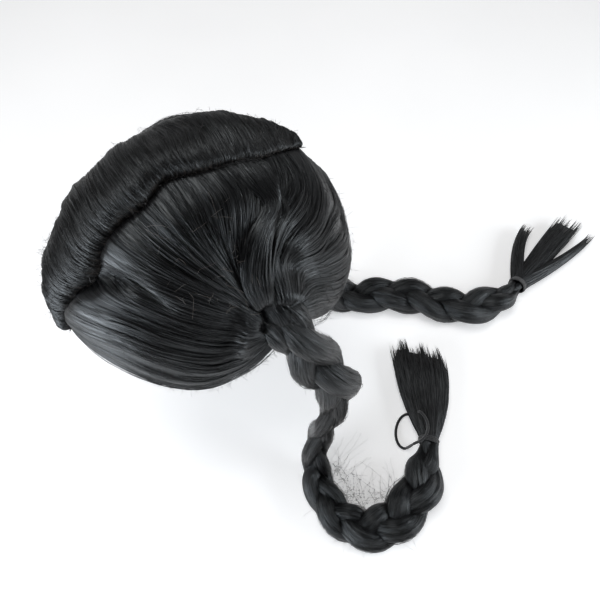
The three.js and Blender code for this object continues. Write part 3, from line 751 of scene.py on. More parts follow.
def curved_place(plait, share, across, lift):
    """A place on the loose curved lock, by its length and from edge to edge (-1 to 1)."""
    along = mix(CURVED_LOCK["along"][0], CURVED_LOCK["along"][-1], share)
    left, right, proud = (smooth(CURVED_LOCK, "along", column, along) for column in ("left", "right", "lift"))
    strand = mix(left, right, (across + 1) / 2)
    raised = (proud + 1.5) * np.sqrt(np.clip(1 - np.abs(across) ** 2.6, 0, 1)) - 1.5
    hollow = hollowed(strand, along) * smooth_step(1.02, 0.9, along)
    return hair_place(plait, strand, along, raised + lift + hollow)


def curved_lock(plait, shape, count, seed):
    """Loose lock that bends over the sweep before it dives into the root."""
    rng = np.random.default_rng(seed)
    across = np.linspace(-1, 1, CURVED_COLUMNS)[:, None]
    share = np.linspace(0, 1, CURVED_ROWS)[None, :]
    lift = ridges(CURVED_COLUMNS, 0.22)[:, None] + layered(CURVED_LAYERS, across, share, seed)
    stray = across + 0.04 * ripple(across * 4, share * 4, seed + 2)
    points = curved_place(plait, share + 0 * across, np.clip(stray, -1, 1), lift)
    shape.grid(points, 0.5 + across / 14, share, flip=plait.side > 0)
    step = np.linspace(0, 1, LOOSE_STEPS)
    start, end = rng.uniform(0, 0.45, count), rng.uniform(0.75, 1.0, count)
    share = mix(start[:, None], end[:, None], step)
    middle = rng.uniform(-1.04, 1.04, count)[:, None]
    middle = middle + 0.05 * ripple(rng.uniform(0, 99, count)[:, None], share * 4, seed + 3)
    middle = np.clip(middle, -1.05, 1.05)
    lift = arched(step, rng.uniform(0.2, 1.3, count))
    widths = tapered(rng.uniform(0.3, 0.8, count), step, 0.04, 0.96)
    shape.strands(lambda up: curved_place(plait, share, middle, up), lift, widths, rng)


def stray_hairs(plait, shape, count, seed):
    """Fine hairs that leave the sweep and curl over it."""
    rng = np.random.default_rng(seed)
    strand = rng.uniform(0, LAST_STRAND, count)
    hems = rng.random(count) < 0.25
    strand = np.where(hems, np.abs(rng.normal(0, 0.15, count)), strand)
    along = rng.uniform(0.25, 0.95, count)
    starts, outwards = rooted(lambda lift: hair_place(plait, strand, along, lift), count)
    ahead = hair_place(plait, strand, along + 0.02, np.zeros(count))
    headings = unit_of(ahead - starts) + outwards * rng.uniform(0.05, 0.4, count)[:, None]
    lines = curls(starts, headings, rng.uniform(5, 15, count), 0.36, 12, rng)
    across = rng.uniform(0, 1, count)
    shape.tubes(lines, FINE_HAIR, 3, across, rng.uniform(0, 0.5, count)[:, None])


def tufts(plait, shape, count, strands, places, reach, seed, standing, pale=0.2):
    """Fine curled hairs that stand off one stretch of the sweep, or lie on it."""
    rng = np.random.default_rng(seed)
    strand, along = rng.uniform(*strands, count), rng.uniform(*places, count)
    starts, outwards = rooted(lambda lift: hair_place(plait, strand, along, lift), count)
    headings = outwards * standing + rng.normal(0, 0.7, (count, 3))
    shape.hairs(curls(starts, headings, rng.uniform(0.4, 1, count) * reach, 0.42, 13, rng), rng, pale)


# The crest's ends in degrees over the head, its mesh, and how far its near edge eases out
CREST_START = 6
CREST_END = 143
CREST_ROWS = 520
CREST_COLUMNS = 36
CREST_UNDER = 6
CREST_EASE = 2.0


def crest_place(over, turn, lift):
    """A place on the crest's rounded back, by degrees over the head and the turn from its near edge."""
    over, turn, lift = np.broadcast_arrays(over, turn, lift)
    ends = np.clip(np.minimum((over - CREST_START) / 6, (CREST_END - over) / 18), 0, 1)
    ends = (1 - (1 - ends) ** 2.4) ** 0.42
    sizes = (("near", CREST_NEAR), ("far", CREST_FAR), ("height", CREST_HEIGHT))
    near, far, height = (most * smooth(CREST, "over", column, over) * ends for column, most in sizes)
    near = near + CREST_EASE * ends
    beyond = np.maximum(-turn, 0) * 9
    beside = (near - far) / 2 + (near + far) / 2 * np.cos(turn)
    beside = beside + beyond + lift * np.cos(np.clip(turn, 0, np.pi))
    raised = height * np.abs(np.sin(turn)) ** CREST_ROUNDNESS * (turn > 0) * (turn < np.pi)
    raised = raised + smooth_step(0, LIP_WIDTH, beyond) * (HAIR_DEPTH - BED_DEPTH)
    raised = raised + lift * np.maximum(np.sin(turn), 0.25)
    lean = np.arcsin(np.clip(beside / (HEAD_WIDTH / 2 + CAP_WALL + LAYER_GAP + BED_DEPTH), -1, 1))
    unit = direction(0, over) * np.cos(lean)[..., None]
    unit[..., 0] = np.sin(lean)
    return on_head(unit, 2 * LAYER_GAP + BED_DEPTH + raised)


def crest_sway(over, turn):
    """How far the crest's strands sway from their own degrees over the head."""
    return 1.6 * ripple(over * 0.09, turn * 1.2, 44) * np.sin(np.maximum(turn, 0))


def crest_base():
    """Rolled crest, ridged across by its strands."""
    shape = Shape()
    row = np.linspace(CREST_START + 0.2, CREST_END - 0.2, CREST_ROWS)[:, None]
    turn = np.linspace(0, np.pi, CREST_COLUMNS)[None, :]
    over = row + crest_sway(row, turn)
    lift = (layered(CREST_LAYERS, over, turn) + ridges(CREST_ROWS, 0.2)[:, None]) * np.sin(turn) ** 0.5
    top = crest_place(np.clip(over, CREST_START, CREST_END), turn, lift)
    back = np.linspace(1, 0, CREST_UNDER + 2)[None, 1:-1]
    under = mix(top[:, :1], top[:, -1:], back[..., None])
    along = np.concatenate([turn / np.pi, back], 1)
    shape.grid(np.concatenate([top, under], 1), row / CREST_END, along, wraps=True, flip=True)
    return shape


def crest_strands(shape, count, seed):
    """Strands combed over the crest, their tips ragged over its near edge."""
    rng = np.random.default_rng(seed)
    over = rng.uniform(9, 141, count)
    start = -rng.uniform(0.0, 0.45, count) * (rng.random(count) < 0.55) + rng.uniform(0, 0.3, count)
    end = start + rng.uniform(1.2, 2.6, count)
    step = np.linspace(0, 1, 13)
    turn = mix(start[:, None], np.minimum(end, 3.0)[:, None], step)
    slant = rng.normal(0, 1.2, count)[:, None] * (step - 0.5)
    place = over[:, None] + slant + crest_sway(over[:, None], turn)
    lift = layered(CREST_LAYERS, place, turn) * np.sin(np.clip(turn, 0, np.pi)) ** 0.5
    lift = lift + arched(np.clip(step, 0.12, 1), rng.uniform(0.15, 1.0, count))
    widths = tapered(rng.uniform(0.3, 0.8, count), step, 0.06)
    pale = 0.8 * (1 - smooth_step(0, 0.22, step)) * rng.uniform(0.2, 1, count)[:, None]
    shape.strands(lambda up: crest_place(place, turn, up), lift, widths, rng, pale)


def crest_fuzz(shape, count, seed):
    """Fine hairs that stand up from the crest."""
    rng = np.random.default_rng(seed)
    over, turn = rng.uniform(12, 136, count), rng.uniform(0.0, 2.4, count)
    starts, outwards = rooted(lambda lift: crest_place(over, turn, lift), count)
    along = unit_of(crest_place(over, turn + 0.05, np.zeros(count)) - starts)
    headings = outwards * rng.uniform(0.2, 0.8, count)[:, None] + along * rng.choice([-1, 1], count)[:, None]
    shape.hairs(curls(starts, headings, rng.uniform(3, 8, count), 0.34, 7, rng), rng, 0.25)


# Columns round a lock, its twist at each step, and how far the fine hairs reach out
LOCK_COLUMNS = 60
LOCK_TWIST = 0.012
FRIZZ_REACH = 11
INNER_FRIZZ_REACH = 52


def lock_place(plait, lock, step, turn, lift):
    """A place on a lock of the plait, by step along the route and turn round the lock."""
    width, thickness = plait.sizes(plait.share)
    phase = plait.phase + 2 * np.pi * lock / LOCKS
    sideways = LOCK["swing"] * width * np.sin(phase)
    upwards = LOCK["rise"] * thickness * np.sin(2 * phase)
    centre = plait.points + plait.sides * sideways[:, None] + plait.faces * upwards[:, None]
    tangent = unit_of(np.gradient(centre, axis=0))
    face = unit_of(plait.faces - tangent * np.sum(plait.faces * tangent, -1, keepdims=True))
    fuller = 1 + 0.1 * np.sin(2 * phase) + 0.07 * ripple(plait.along / 21, 5.0 * lock, 60)
    half_width = LOCK["half_width"] * width * fuller
    half_thickness = LOCK["half_thickness"] * thickness
    low = np.minimum(step.astype(int), plait.steps - 1)
    part = (step - low)[..., None]

    def pick(values):
        return mix(values[low], values[low + 1], part)

    across = (pick(half_width[:, None])[..., 0] + lift) * np.cos(turn)
    up = (pick(half_thickness[:, None])[..., 0] + lift) * np.sin(turn)
    return pick(centre) + pick(np.cross(tangent, face)) * across[..., None] + pick(face) * up[..., None]


def lock_lift(plait, lock, step, turn, seed):
    """Relief of a lock of a plait."""
    along = step * plait.length / plait.steps
    height = 0.8 * ripple(turn * 0.9 + 7 * lock, along / 26, seed)
    height = height + 0.45 * ripple(turn * 3 + 9 * lock, along / 30, seed + 1)
    return height + 0.32 * ripple(turn * 8, along / 34 + 3 * lock, seed + 2)


def plait_locks(plait, seed):
    """Three ridged locks that cross over and under each other."""
    shape = Shape()
    step = np.arange(plait.steps + 1.0)[:, None]
    column = turns_round(LOCK_COLUMNS)[None, :]
    for lock in range(LOCKS):
        turn = column + 0.25 * ripple(step / 9, column * 0.6 + 5 * lock, seed + 3) + step * LOCK_TWIST
        lift = ridges(LOCK_COLUMNS, 0.15) + lock_lift(plait, lock, step + 0 * turn, turn, seed)
        points = lock_place(plait, lock, step + 0 * turn, turn, lift)
        shape.grid(points, column / ROUND + lock, step / plait.steps * 4, wraps=True, flip=True)
    return shape


# Sections of the sweep that feed the locks of a plait: middle strand and half width
FEEDS = {2: (1.9, 1.25), 1: (6.2, 1.5)}
FEED_ROWS = 46
FEED_REACH = 46


def feed_place(plait, lock, reach, turn, lift):
    """A place on a lock where it leaves the head, by the distance from the root."""
    middle, half = FEEDS[lock]
    past = reach / GATHER_LENGTH * GATHER
    along = 1 + np.where(reach < 0, reach / 110, past)
    strand = middle + half * np.cos(turn) * mix(1, 0.8, smooth_step(-25, 10, reach))
    proud = mix(0.5, 5.5, smooth_step(-26, 4, reach))
    swept = hair_place(plait, strand, along, np.sin(turn) * proud - 1.0 + lift + np.clip(reach, 0, 30) * 0.25)
    step = np.clip(reach, 0, None) * plait.steps / plait.length
    plaited = lock_place(plait, lock, step, turn, lift)
    return mix(swept, plaited, smooth_step(-4, 26, reach)[..., None])


def feeds(plait, shape, count, seed):
    """Locks on their way from the sweep into the plait, with strands over them."""
    rng = np.random.default_rng(seed)
    step = np.linspace(0, 1, LOOSE_STEPS)
    for lock in FEEDS:
        reach = np.linspace(-30, FEED_REACH, FEED_ROWS)[:, None]
        turn = turns_round(LOCK_COLUMNS)[None, :]
        lift = ridges(LOCK_COLUMNS, 0.2) + 0.5 * ripple(turn * 2.5 + 7 * lock, reach / 24, seed)
        lift = lift + 0.3 * smooth_step(FEED_REACH, 20, reach)
        points = feed_place(plait, lock, *np.broadcast_arrays(reach, turn, lift))
        shape.grid(points, turn / ROUND + lock, reach / 100, wraps=True, flip=True)
        start, end = rng.uniform(-34, -6, count), rng.uniform(16, FEED_REACH, count)
        reach = mix(start[:, None], end[:, None], step)
        turn = rng.uniform(-0.3, np.pi + 0.3, count)[:, None]
        turn = turn + 0.12 * ripple(rng.uniform(0, 99, count)[:, None], reach / 20, seed)
        lift = arched(step, 0.2 + rng.uniform(0.1, 1.0, count))
        widths = tapered(rng.uniform(0.3, 0.8, count), step)
        shape.strands(lambda up: feed_place(plait, lock, reach, turn, up), lift, widths, rng)


def plait_strands(plait, shape, count, seed):
    """Strands that lie on the locks of a plait."""
    rng = np.random.default_rng(seed)
    steps = np.linspace(0, 1, 12)
    for lock in range(LOCKS):
        start = rng.uniform(0, plait.steps - 24, count)
        reach = rng.uniform(14, 26, count)
        step = np.clip(start[:, None] + reach[:, None] * steps, 0, plait.steps - 0.01)
        turn = rng.uniform(0, 2 * np.pi, count)[:, None] + rng.normal(0, 0.35, count)[:, None] * steps
        turn = turn + step * LOCK_TWIST
        lift = lock_lift(plait, lock, step, turn, seed) * 0.9 + arched(steps, rng.uniform(0.1, 1.1, count))
        widths = tapered(rng.uniform(0.3, 0.7, count), steps)
        shape.strands(lambda up: lock_place(plait, lock, step, turn, up), lift, widths, rng)


def plait_frizz(plait, shape, count, seed):
    """Fine curled hairs that have worked out of a plait, none below the surface that it lies on."""
    rng = np.random.default_rng(seed)
    step = rng.uniform(0.1, 0.95, count) * plait.steps
    lock = rng.integers(0, LOCKS, count)
    turn = rng.uniform(0, 2 * np.pi, count)
    for which in range(LOCKS):
        own = lock == which
        many = own.sum()
        starts, outwards = rooted(lambda lift: lock_place(plait, which, step[own], turn[own], lift), many)
        ahead = plait.tangents[step[own].astype(int)]
        headings = outwards * rng.uniform(0.3, 1.0, many)[:, None] + ahead * rng.normal(0, 0.8, many)[:, None]
        lines = curls(starts, headings, rng.uniform(0.3, 1, many) * FRIZZ_REACH, 0.5, 14, rng)
        over = lines[..., 2] - TABLE - 0.6
        lines[..., 2] = np.where(over < 0, TABLE + 0.6 + 0.15 * np.abs(over) ** 0.5, lines[..., 2])
        shape.hairs(lines, rng)


def inner_frizz(plait, shape, count, seed):
    """Curled fine hairs that lie inside the bend of a plait."""
    rng = np.random.default_rng(seed)
    at = (rng.uniform(0.56, 0.87, count) * (len(plait.points) - 1)).astype(int)
    starts = plait.points[at] - plait.sides[at] * rng.uniform(8, 19, count)[:, None]
    headings = rng.normal(0, 0.5, (count, 3)) * (1, 1, 0.3) - plait.sides[at]
    lines = curls(starts, headings, rng.uniform(0.25, 1, count) * INNER_FRIZZ_REACH, 0.46, 30, rng)
    lines[..., 2] = TABLE + 0.5 + 12 * np.tanh(np.abs(lines[..., 2] - TABLE - 0.5) / 14)
    shape.hairs(lines, rng, 0.3)


# Tails: clumps of their tips, their half width in the band, how far they sit in it, as a share of its
# width, and the share of their length that it holds
TIP_CLUMPS = 5
TAIL_NECK = NECK_WIDTH / 2 * 1.12
TAIL_SEAT = 0.4
TAIL_HELD = 0.06


class Tail:
    """Loose brush past the band, in groups of strips."""

    def __init__(self, plait, strips, length, turn, opens, bend):
        self.strips, self.length, self.opens, self.bend = strips, length, opens, bend
        self.side, self.face = plait.sides[-1], plait.faces[-1]
        seat = plait.tangents[-1] * BAND_WIDTH * TAIL_SEAT
        self.start, self.leaving = plait.points[-1] - seat, plait.points[-1] + seat
        flat, turned = unit_of(plait.tangents[-1] * (1, 1, 0)), np.radians(turn)
        self.heading = flat * np.cos(turned) + np.cross(UP, flat) * np.sin(turned)
        self.sideways = np.cross(self.heading, UP)

    def width(self, group):
        """Width of a group as a share of the tail's length."""
        first, last = group
        return self.strips["lean"][last] - self.strips["lean"][first] + self.strips["width"][first]

    def place(self, group, share, p, q):
        """A place in a group, by the share of its length, and across and up it from -1 to 1."""
        lean, wide, long = (self.strips[column][list(group)] for column in ("lean", "width", "length"))
        lean = lean + wide / 2 * (-1, 1)
        across = (p + 1) / 2
        out = np.clip((share - TAIL_HELD) / (1 - TAIL_HELD), 0, None)
        opened = (1 - (1 - np.clip(out, 0, 1)) ** self.opens)[..., None]
        thickest = np.max(self.strips["thickness"]) * TAIL_THICKNESS / 2
        thick = mix(TAIL_NECK, thickest, smooth_step(0, 0.4, out))
        thick = thick * mix(1, 0.45, smooth_step(0.7, 1, out))
        rise = np.sqrt(np.clip(1 - p * p * 0.8, 0.05, 1)) * q
        middle = self.leaving + self.heading * (out * mix(*long, across) * self.length)[..., None]
        middle = middle + self.sideways * (self.bend * self.length * out**3)[..., None]
        low = TABLE + TAIL_THICKNESS * TAIL_FULLEST / 2
        middle[..., 2] = mix(self.leaving[2], low, smooth_step(0, 0.5, out))
        close = self.side * (p * TAIL_NECK)[..., None] + self.face * (rise * TAIL_NECK)[..., None]
        loose = self.sideways * (mix(*lean, across) * self.length)[..., None] + UP * (rise * thick)[..., None]
        held = mix(self.start, self.leaving, np.clip(share / TAIL_HELD, 0, 1)[..., None]) + close
        return np.where((share < TAIL_HELD)[..., None], held, middle + mix(close, loose, opened))

    def core(self, shape, group, number, seed):
        """Ridged core of a group, which narrows to its tips."""
        columns = 30 + 2 * int(self.width(group) * 110)
        share = np.linspace(0, 0.9, 34)[:, None] * np.ones((1, columns))
        angle = turns_round(columns)[None, :]
        swell = 0.93 + ridges(columns, 0.035) + 0.05 * ripple(angle * 3, share * 3, seed + number)
        closing = np.sqrt(1 - smooth_step(0.72, 0.91, share) * 0.97)
        p, q = np.cos(angle) * swell * mix(1, closing, 0.25), np.sin(angle) * swell * closing
        shape.grid(self.place(group, share, p, q), angle / ROUND + number, share, wraps=True, flip=True)

    def ragged(self, shape, group, number, count, rng, seed):
        """Strands round the core of a group, whose tips draw together in clumps."""
        angle = rng.uniform(0, 2 * np.pi, count)
        p0 = rng.uniform(-1.02, 1.02, count)
        q0 = np.sign(np.sin(angle)) * np.sqrt(np.clip(1.04 - p0 * p0 * 0.6, 0.05, 1))
        q0 = q0 * rng.uniform(0.3, 1.03, count) ** 0.5
        steps = np.linspace(0, 1, 14)
        reach = 0.8 + 0.2 * rng.random(count) ** 1.5 + 0.07 * ripple(p0 * 5, 0.0, seed + 9)
        share = mix(rng.uniform(0, 0.35, count)[:, None], reach[:, None], steps)
        waver = 0.09 * ripple(rng.uniform(0, 100, count)[:, None], steps * 2.2, seed + number) * share
        clump = np.round(p0 * TIP_CLUMPS + 0.4 * ripple(p0 * 3, 0.0, seed + 5)) / TIP_CLUMPS
        p = mix(p0[:, None], clump[:, None], 0.55 * smooth_step(0.7, 1, share)) + waver
        q = q0[:, None] + waver
        lines = self.place(group, share, p, q)
        lines[..., 2] = np.maximum(lines[..., 2], TABLE + 0.5)
        faces = unit_of(self.sideways * (0.4 * p)[..., None] + UP * (q + 0.01)[..., None])
        widths = rng.uniform(0.4, 1.1, count)[:, None] * (1 - 0.8 * smooth_step(0.8, 1, steps))
        shape.ribbons(lines, faces, widths, rng.uniform(0, 1, count), 0.25 * smooth_step(0.92, 1, steps))


def tail_shape(tail, groups, count, seed):
    """Cores and ragged strands of a tail."""
    rng = np.random.default_rng(seed)
    shape = Shape()
    for number, group in enumerate(groups):
        tail.core(shape, group, number, seed)
        tail.ragged(shape, group, number, int(count * (0.35 + tail.width(group))), rng, seed)
    return shape


# Cord of the elastics, its turns, and the loop's reach and climb over the tail
BAND_CORD = 0.9
BAND_TURNS = 3
LOOP_OVER_TAIL = 1.7
LOOP_CLIMB = 17.5


def wound_band(plait, seed):
    """Elastic wound round the neck of a plait."""
    shape = Shape()
    turn = np.linspace(0, 2 * np.pi * BAND_TURNS, 40 * BAND_TURNS + 1)
    reach = (turn / turn[-1] - 0.5) * (BAND_CORD * 2 * (BAND_TURNS - 0.5))
    radius = BAND_OUTSIDE - 0.6 - BAND_CORD + 0.25 * ripple(turn * 0.7, 0.0, seed)
    lines = plait.points[-1] + plait.tangents[-1] * reach[:, None]
    lines = lines + plait.sides[-1] * (radius * np.cos(turn))[:, None]
    lines = lines + plait.faces[-1] * (radius * np.sin(turn))[:, None]
    radii = BAND_CORD * (1 + 0.05 * np.sin(turn * 11))
    radii[[0, -1]] = 0.05
    shape.tubes(lines[None], radii[None], 10, np.zeros(1))
    return shape


def loose_loop(plait, shape):
    """Loop of the elastic that lies flat beside the tail and climbs over it."""
    point, side, tangent = plait.points[-1], plait.sides[-1], plait.tangents[-1]
    middle = point - side * (BAND_OUTSIDE + (1 - LOOP_SEAT) * LOOP_REACH) + tangent * LOOP_SHIFT
    turn = np.linspace(0, 2 * np.pi, 97)
    beside = LOOP_REACH * np.where(np.cos(turn) < 0, 1, LOOP_OVER_TAIL) * np.cos(turn)
    lines = middle + side * beside[:, None] + tangent * (LOOP_HALF_LENGTH * np.sin(turn))[:, None]
    lines[:, 2] = TABLE + LOOP_WIRE / 2 + LOOP_CLIMB * smooth_step(0, 0.5, np.cos(turn))
    radii = LOOP_WIRE / 2 * 0.9 * (1 + 0.05 * np.sin(turn * 46))
    shape.tubes(lines[None], radii[None], 10, np.zeros(1))


WEFTS = 9


def cap_shape():
    """Thin cap, its inside crossed by raised sewn wefts and bound along its lower edge."""
    shape = Shape()
    around = np.linspace(0, 360, 121)[:, None]
    folded = np.where(around > 180, 360 - around, around)
    hem = smooth(CAP_HEM, "around", "above", folded)
    down = np.linspace(0, 1, 73)[None, :]
    above = 90 - (90 - hem) * down
    weft = np.clip(np.cos(2 * np.pi * WEFTS * down), 0, 1) ** 3 * smooth_step(0.02, 0.1, down)
    binding = smooth_step(0.9, 0.93, down)
    stitch = 0.12 * np.sin(np.radians(around) * 120)
    proud = np.maximum(0.8 * weft * (1 + stitch), 0.5 * binding)
    outer = on_head(direction(around, above), np.zeros(above.shape))
    inner = on_head(direction(around, above), -CAP_WALL - proud)
    rim = mix(outer[:, -1:], inner[:, -1:], np.linspace(0, 1, 4)[1:-1, None])
    points = np.concatenate([outer, rim, inner[:, ::-1]], 1)
    along = np.concatenate([down, np.full((1, 2), 1.0), down[:, ::-1]], 1)
    shape.grid(points, around / 360, along, flip=True)
    return shape


WORN_TIP = (0.11, 0.095, 0.085)
NET_TONES = ((0.028, 0.027, 0.028), (0.008, 0.008, 0.009))
FLOOR_TONES = ((0.86, 0.86, 0.865), (0.9, 0.9, 0.905))


def add_node(tree, kind, **inputs):
    """A shader node, its inputs linked to sockets or set to values. An underscore stands for a space."""
    node = tree.nodes.new(kind)
    for name, value in inputs.items():
        socket = node.inputs[name.replace("_", " ")]
        if isinstance(value, bpy.types.NodeSocket):
            tree.links.new(value, socket)
        else:
            socket.default_value = value
    return node


def object_place(tree):
    """Coordinates of the piece itself."""
    return tree.nodes.new("ShaderNodeTexCoord").outputs["Object"]


def strand_noise(tree, scale, detail, roughness):
    """Noise drawn out along the strands."""
    place = tree.nodes.new("ShaderNodeUVMap")
    place.uv_map = "strand"
    drawn = add_node(tree, "ShaderNodeMapping", Vector=place.outputs["UV"], Scale=scale).outputs["Vector"]
    noise = add_node(tree, "ShaderNodeTexNoise", Vector=drawn, Scale=1.0, Detail=detail, Roughness=roughness)
    return noise.outputs["Fac"]


def ramp(tree, source, low, high, dark, light):
    """Colours from dark to light as the source goes from low to high."""
    node = add_node(tree, "ShaderNodeValToRGB", Fac=source)
    for stop, place, colour in zip(node.color_ramp.elements, (low, high), (dark, light)):
        stop.position = place
        stop.color = (*colour, 1)
    return node.outputs["Color"]


def ranged(tree, source, low, high, first=0, last=1):
    """The source brought from one range into another."""
    node = add_node(tree, "ShaderNodeMapRange", Value=source, From_Min=low, From_Max=high)
    node.inputs["To Min"].default_value = first
    node.inputs["To Max"].default_value = last
    return node.outputs["Result"]


def bumped(tree, surface, height, strength, distance, invert=False):
    """Fine relief of a surface."""
    bump = add_node(tree, "ShaderNodeBump", Height=height, Strength=strength, Distance=distance)
    bump.invert = invert
    tree.links.new(bump.outputs["Normal"], surface.inputs["Normal"])


def new_material(name):
    """A material, its tree of nodes and its surface."""
    material = bpy.data.materials.new(name)
    material.use_nodes = True
    return material, material.node_tree, material.node_tree.nodes["Principled BSDF"]


def with_worn_tips(tree, tone):
    """The tone, paler towards worn tips."""
    tips = tree.nodes.new("ShaderNodeAttribute")
    tips.attribute_name = "pale"
    blend = tree.nodes.new("ShaderNodeMix")
    blend.data_type = "RGBA"
    first, second = (socket for socket in blend.inputs if socket.type == "RGBA")
    second.default_value = (*WORN_TIP, 1)
    tree.links.new(tips.outputs["Fac"], blend.inputs["Factor"])
    tree.links.new(tone, first)
    return next(socket for socket in blend.outputs if socket.type == "RGBA")


# Painted shade on the plaits' reflections by height, from the table up to the crown: their specular tint is
# darkened where they hang
HANGING_SHADE = ((0.1, 1.0), (0.2, 0.25), (0.45, 0.25), (0.52, 0.85))


def shade_painted_by_height(tree, tint):
    """The specular tint, darkened by height over the table: painted shade on the plaits' reflections where
    they hang.
    """
    split = add_node(tree, "ShaderNodeSeparateXYZ", Vector=object_place(tree))
    shade = add_node(tree, "ShaderNodeValToRGB", Fac=ranged(tree, split.outputs["Z"], TABLE * MM, 0))
    stops = shade.color_ramp.elements
    stops[0].position, stops[1].position = HANGING_SHADE[0][0], HANGING_SHADE[-1][0]
    for position, _ in HANGING_SHADE[1:-1]:
        stops.new(position)
    for stop, (_, grey) in zip(stops, HANGING_SHADE):
        stop.color = (grey, grey, grey, 1)
    both = tree.nodes.new("ShaderNodeVectorMath")
    both.operation = "MULTIPLY"
    tree.links.new(tint, both.inputs[0])
    tree.links.new(shade.outputs["Color"], both.inputs[1])
    return both.outputs["Vector"]


def hair_material(name, dark, light, rough, anisotropy, painted_shade=False):
    """Satin black hair, streaked along its strands, with paler worn tips."""
    material, tree, surface = new_material(name)
    streaks = strand_noise(tree, (420, 4, 1), 3, 0.6)
    tone = with_worn_tips(tree, ramp(tree, streaks, 0.38, 0.62, dark, light))
    tree.links.new(tone, surface.inputs["Base Color"])
    tree.links.new(ranged(tree, streaks, 0.3, 0.7, rough - 0.12, rough + 0.16), surface.inputs["Roughness"])
    surface.inputs["Anisotropic"].default_value = anisotropy
    surface.inputs["Specular IOR Level"].default_value = 0.75
    tint = ramp(tree, strand_noise(tree, (230, 3, 1), 4, 0.7), 0.4, 0.6, (0.1, 0.11, 0.12), (0.9, 0.96, 1.0))
    # On the plaits the specular tint carries painted shade by height, darker where they hang
    tree.links.new(shade_painted_by_height(tree, tint) if painted_shade else tint, surface.inputs["Specular Tint"])
    tangent = tree.nodes.new("ShaderNodeTangent")
    tangent.direction_type = "UV_MAP"
    tangent.uv_map = "strand"
    tree.links.new(tangent.outputs["Tangent"], surface.inputs["Tangent"])
    bumped(tree, surface, strand_noise(tree, (900, 7, 1), 2, 0.55), 0.6, 0.0004)
    return material


def elastic_material(name, colour):
    """Covered elastic, with the fine ribs of its knit."""
    material, tree, surface = new_material(name)
    surface.inputs["Base Color"].default_value = (*colour, 1)
    surface.inputs["Roughness"].default_value = 0.75
    surface.inputs["Sheen Weight"].default_value = 0.25
    ribs = add_node(tree, "ShaderNodeTexWave", Vector=object_place(tree), Scale=900.0, Distortion=1.5)
    bumped(tree, surface, ribs.outputs["Fac"], 0.5, 0.0004)
    return material


def net_material():
    """Fine knotted net of the cap."""
    material, tree, surface = new_material("cap_net")
    cells = add_node(tree, "ShaderNodeTexVoronoi", Vector=object_place(tree), Scale=650.0)
    cells.feature = "DISTANCE_TO_EDGE"
    edge = cells.outputs["Distance"]
    tree.links.new(ramp(tree, edge, 0.05, 0.3, *NET_TONES), surface.inputs["Base Color"])
    surface.inputs["Roughness"].default_value = 0.85
    surface.inputs["Sheen Weight"].default_value = 0.2
    bumped(tree, surface, edge, 0.7, 0.0006, invert=True)
    return material


# Camera: lens, where it stands, how far it is turned from the back to the right, and how far down it looks
LENS = 36.9
CAMERA_PLACE = (237.9, -90.9, 268.0)
CAMERA_TURN = 55
CAMERA_DOWN = 60


def camera():
    """Camera at the photograph's viewing angle, down on the left side of the face."""
    data = bpy.data.cameras.new("camera")
    data.sensor_width = 36
    data.lens = LENS
    data.clip_start = 0.01
    seen = bpy.data.objects.new("camera", data)
    turn, down = np.radians(CAMERA_TURN), np.radians(CAMERA_DOWN)
    right = Vector((np.cos(turn), np.sin(turn), 0))
    looking = Vector((-np.cos(down) * np.sin(turn), np.cos(down) * np.cos(turn), -np.sin(down)))
    seen.matrix_world = Matrix((right, right.cross(looking), -looking)).transposed().to_4x4()
    seen.matrix_world.translation = Vector(CAMERA_PLACE) * MM
    bpy.context.scene.collection.objects.link(seen)
    bpy.context.scene.camera = seen


FLOOR_GLOW = 0.42
FLOOR_HALF = 6.0


def floor():
    """Pale floor under the plaits, lit through like a light table."""
    mesh = bpy.data.meshes.new("floor")
    level = TABLE * MM - 0.0004
    corners = [(x * FLOOR_HALF, y * FLOOR_HALF, level) for x, y in ((-1, -1), (1, -1), (1, 1), (-1, 1))]
    mesh.from_pydata(corners, [], [(0, 1, 2, 3)])
    ground = bpy.data.objects.new("floor", mesh)
    bpy.context.scene.collection.objects.link(ground)
    material, tree, surface = new_material("floor_paper")
    surface.inputs["Roughness"].default_value = 0.9
    grain = add_node(tree, "ShaderNodeTexNoise", Scale=40.0, Detail=4.0)
    tone = ramp(tree, grain.outputs["Fac"], 0.3, 0.7, *FLOOR_TONES)
    tree.links.new(tone, surface.inputs["Base Color"])
    tree.links.new(tone, surface.inputs["Emission Color"])
    surface.inputs["Emission Strength"].default_value = FLOOR_GLOW
    mesh.materials.append(material)


def area_light(name, place, target, size, watts, colour):
    """Square lamp that faces a target."""
    data = bpy.data.lights.new(name, "AREA")
    data.shape, data.size, data.energy, data.color = "SQUARE", size, watts, colour
    light = bpy.data.objects.new(name, data)
    light.location = place
    light.rotation_euler = (Vector(target) - Vector(place)).to_track_quat("-Z", "Y").to_euler()
    bpy.context.scene.collection.objects.link(light)


# Darker parts of the room: the way to each, where it begins and is full, and its tone
DARK_PARTS = (((0, 0, 1), 0.1, 0.65, 0.22), ((0.906, -0.423, 0), 0.25, 0.8, 0.25))


def room():
    """White room, darker overhead and on the side where the photographer stands."""
    world = bpy.data.worlds.new("room")
    bpy.context.scene.world = world
    world.use_nodes = True
    tree = world.node_tree
    background = tree.nodes["Background"]
    background.inputs["Color"].default_value = (0.5, 0.505, 0.515, 1)
    place = tree.nodes.new("ShaderNodeTexCoord")
    both = tree.nodes.new("ShaderNodeMath")
    both.operation = "MULTIPLY"
    for socket, (way, begun, full, dark) in zip(both.inputs, DARK_PARTS):
        turned = tree.nodes.new("ShaderNodeVectorMath")
        turned.operation = "DOT_PRODUCT"
        turned.inputs[1].default_value = way
        tree.links.new(place.outputs["Generated"], turned.inputs[0])
        tree.links.new(ranged(tree, turned.outputs["Value"], begun, full, 1, dark), socket)
    tree.links.new(both.outputs["Value"], background.inputs["Strength"])


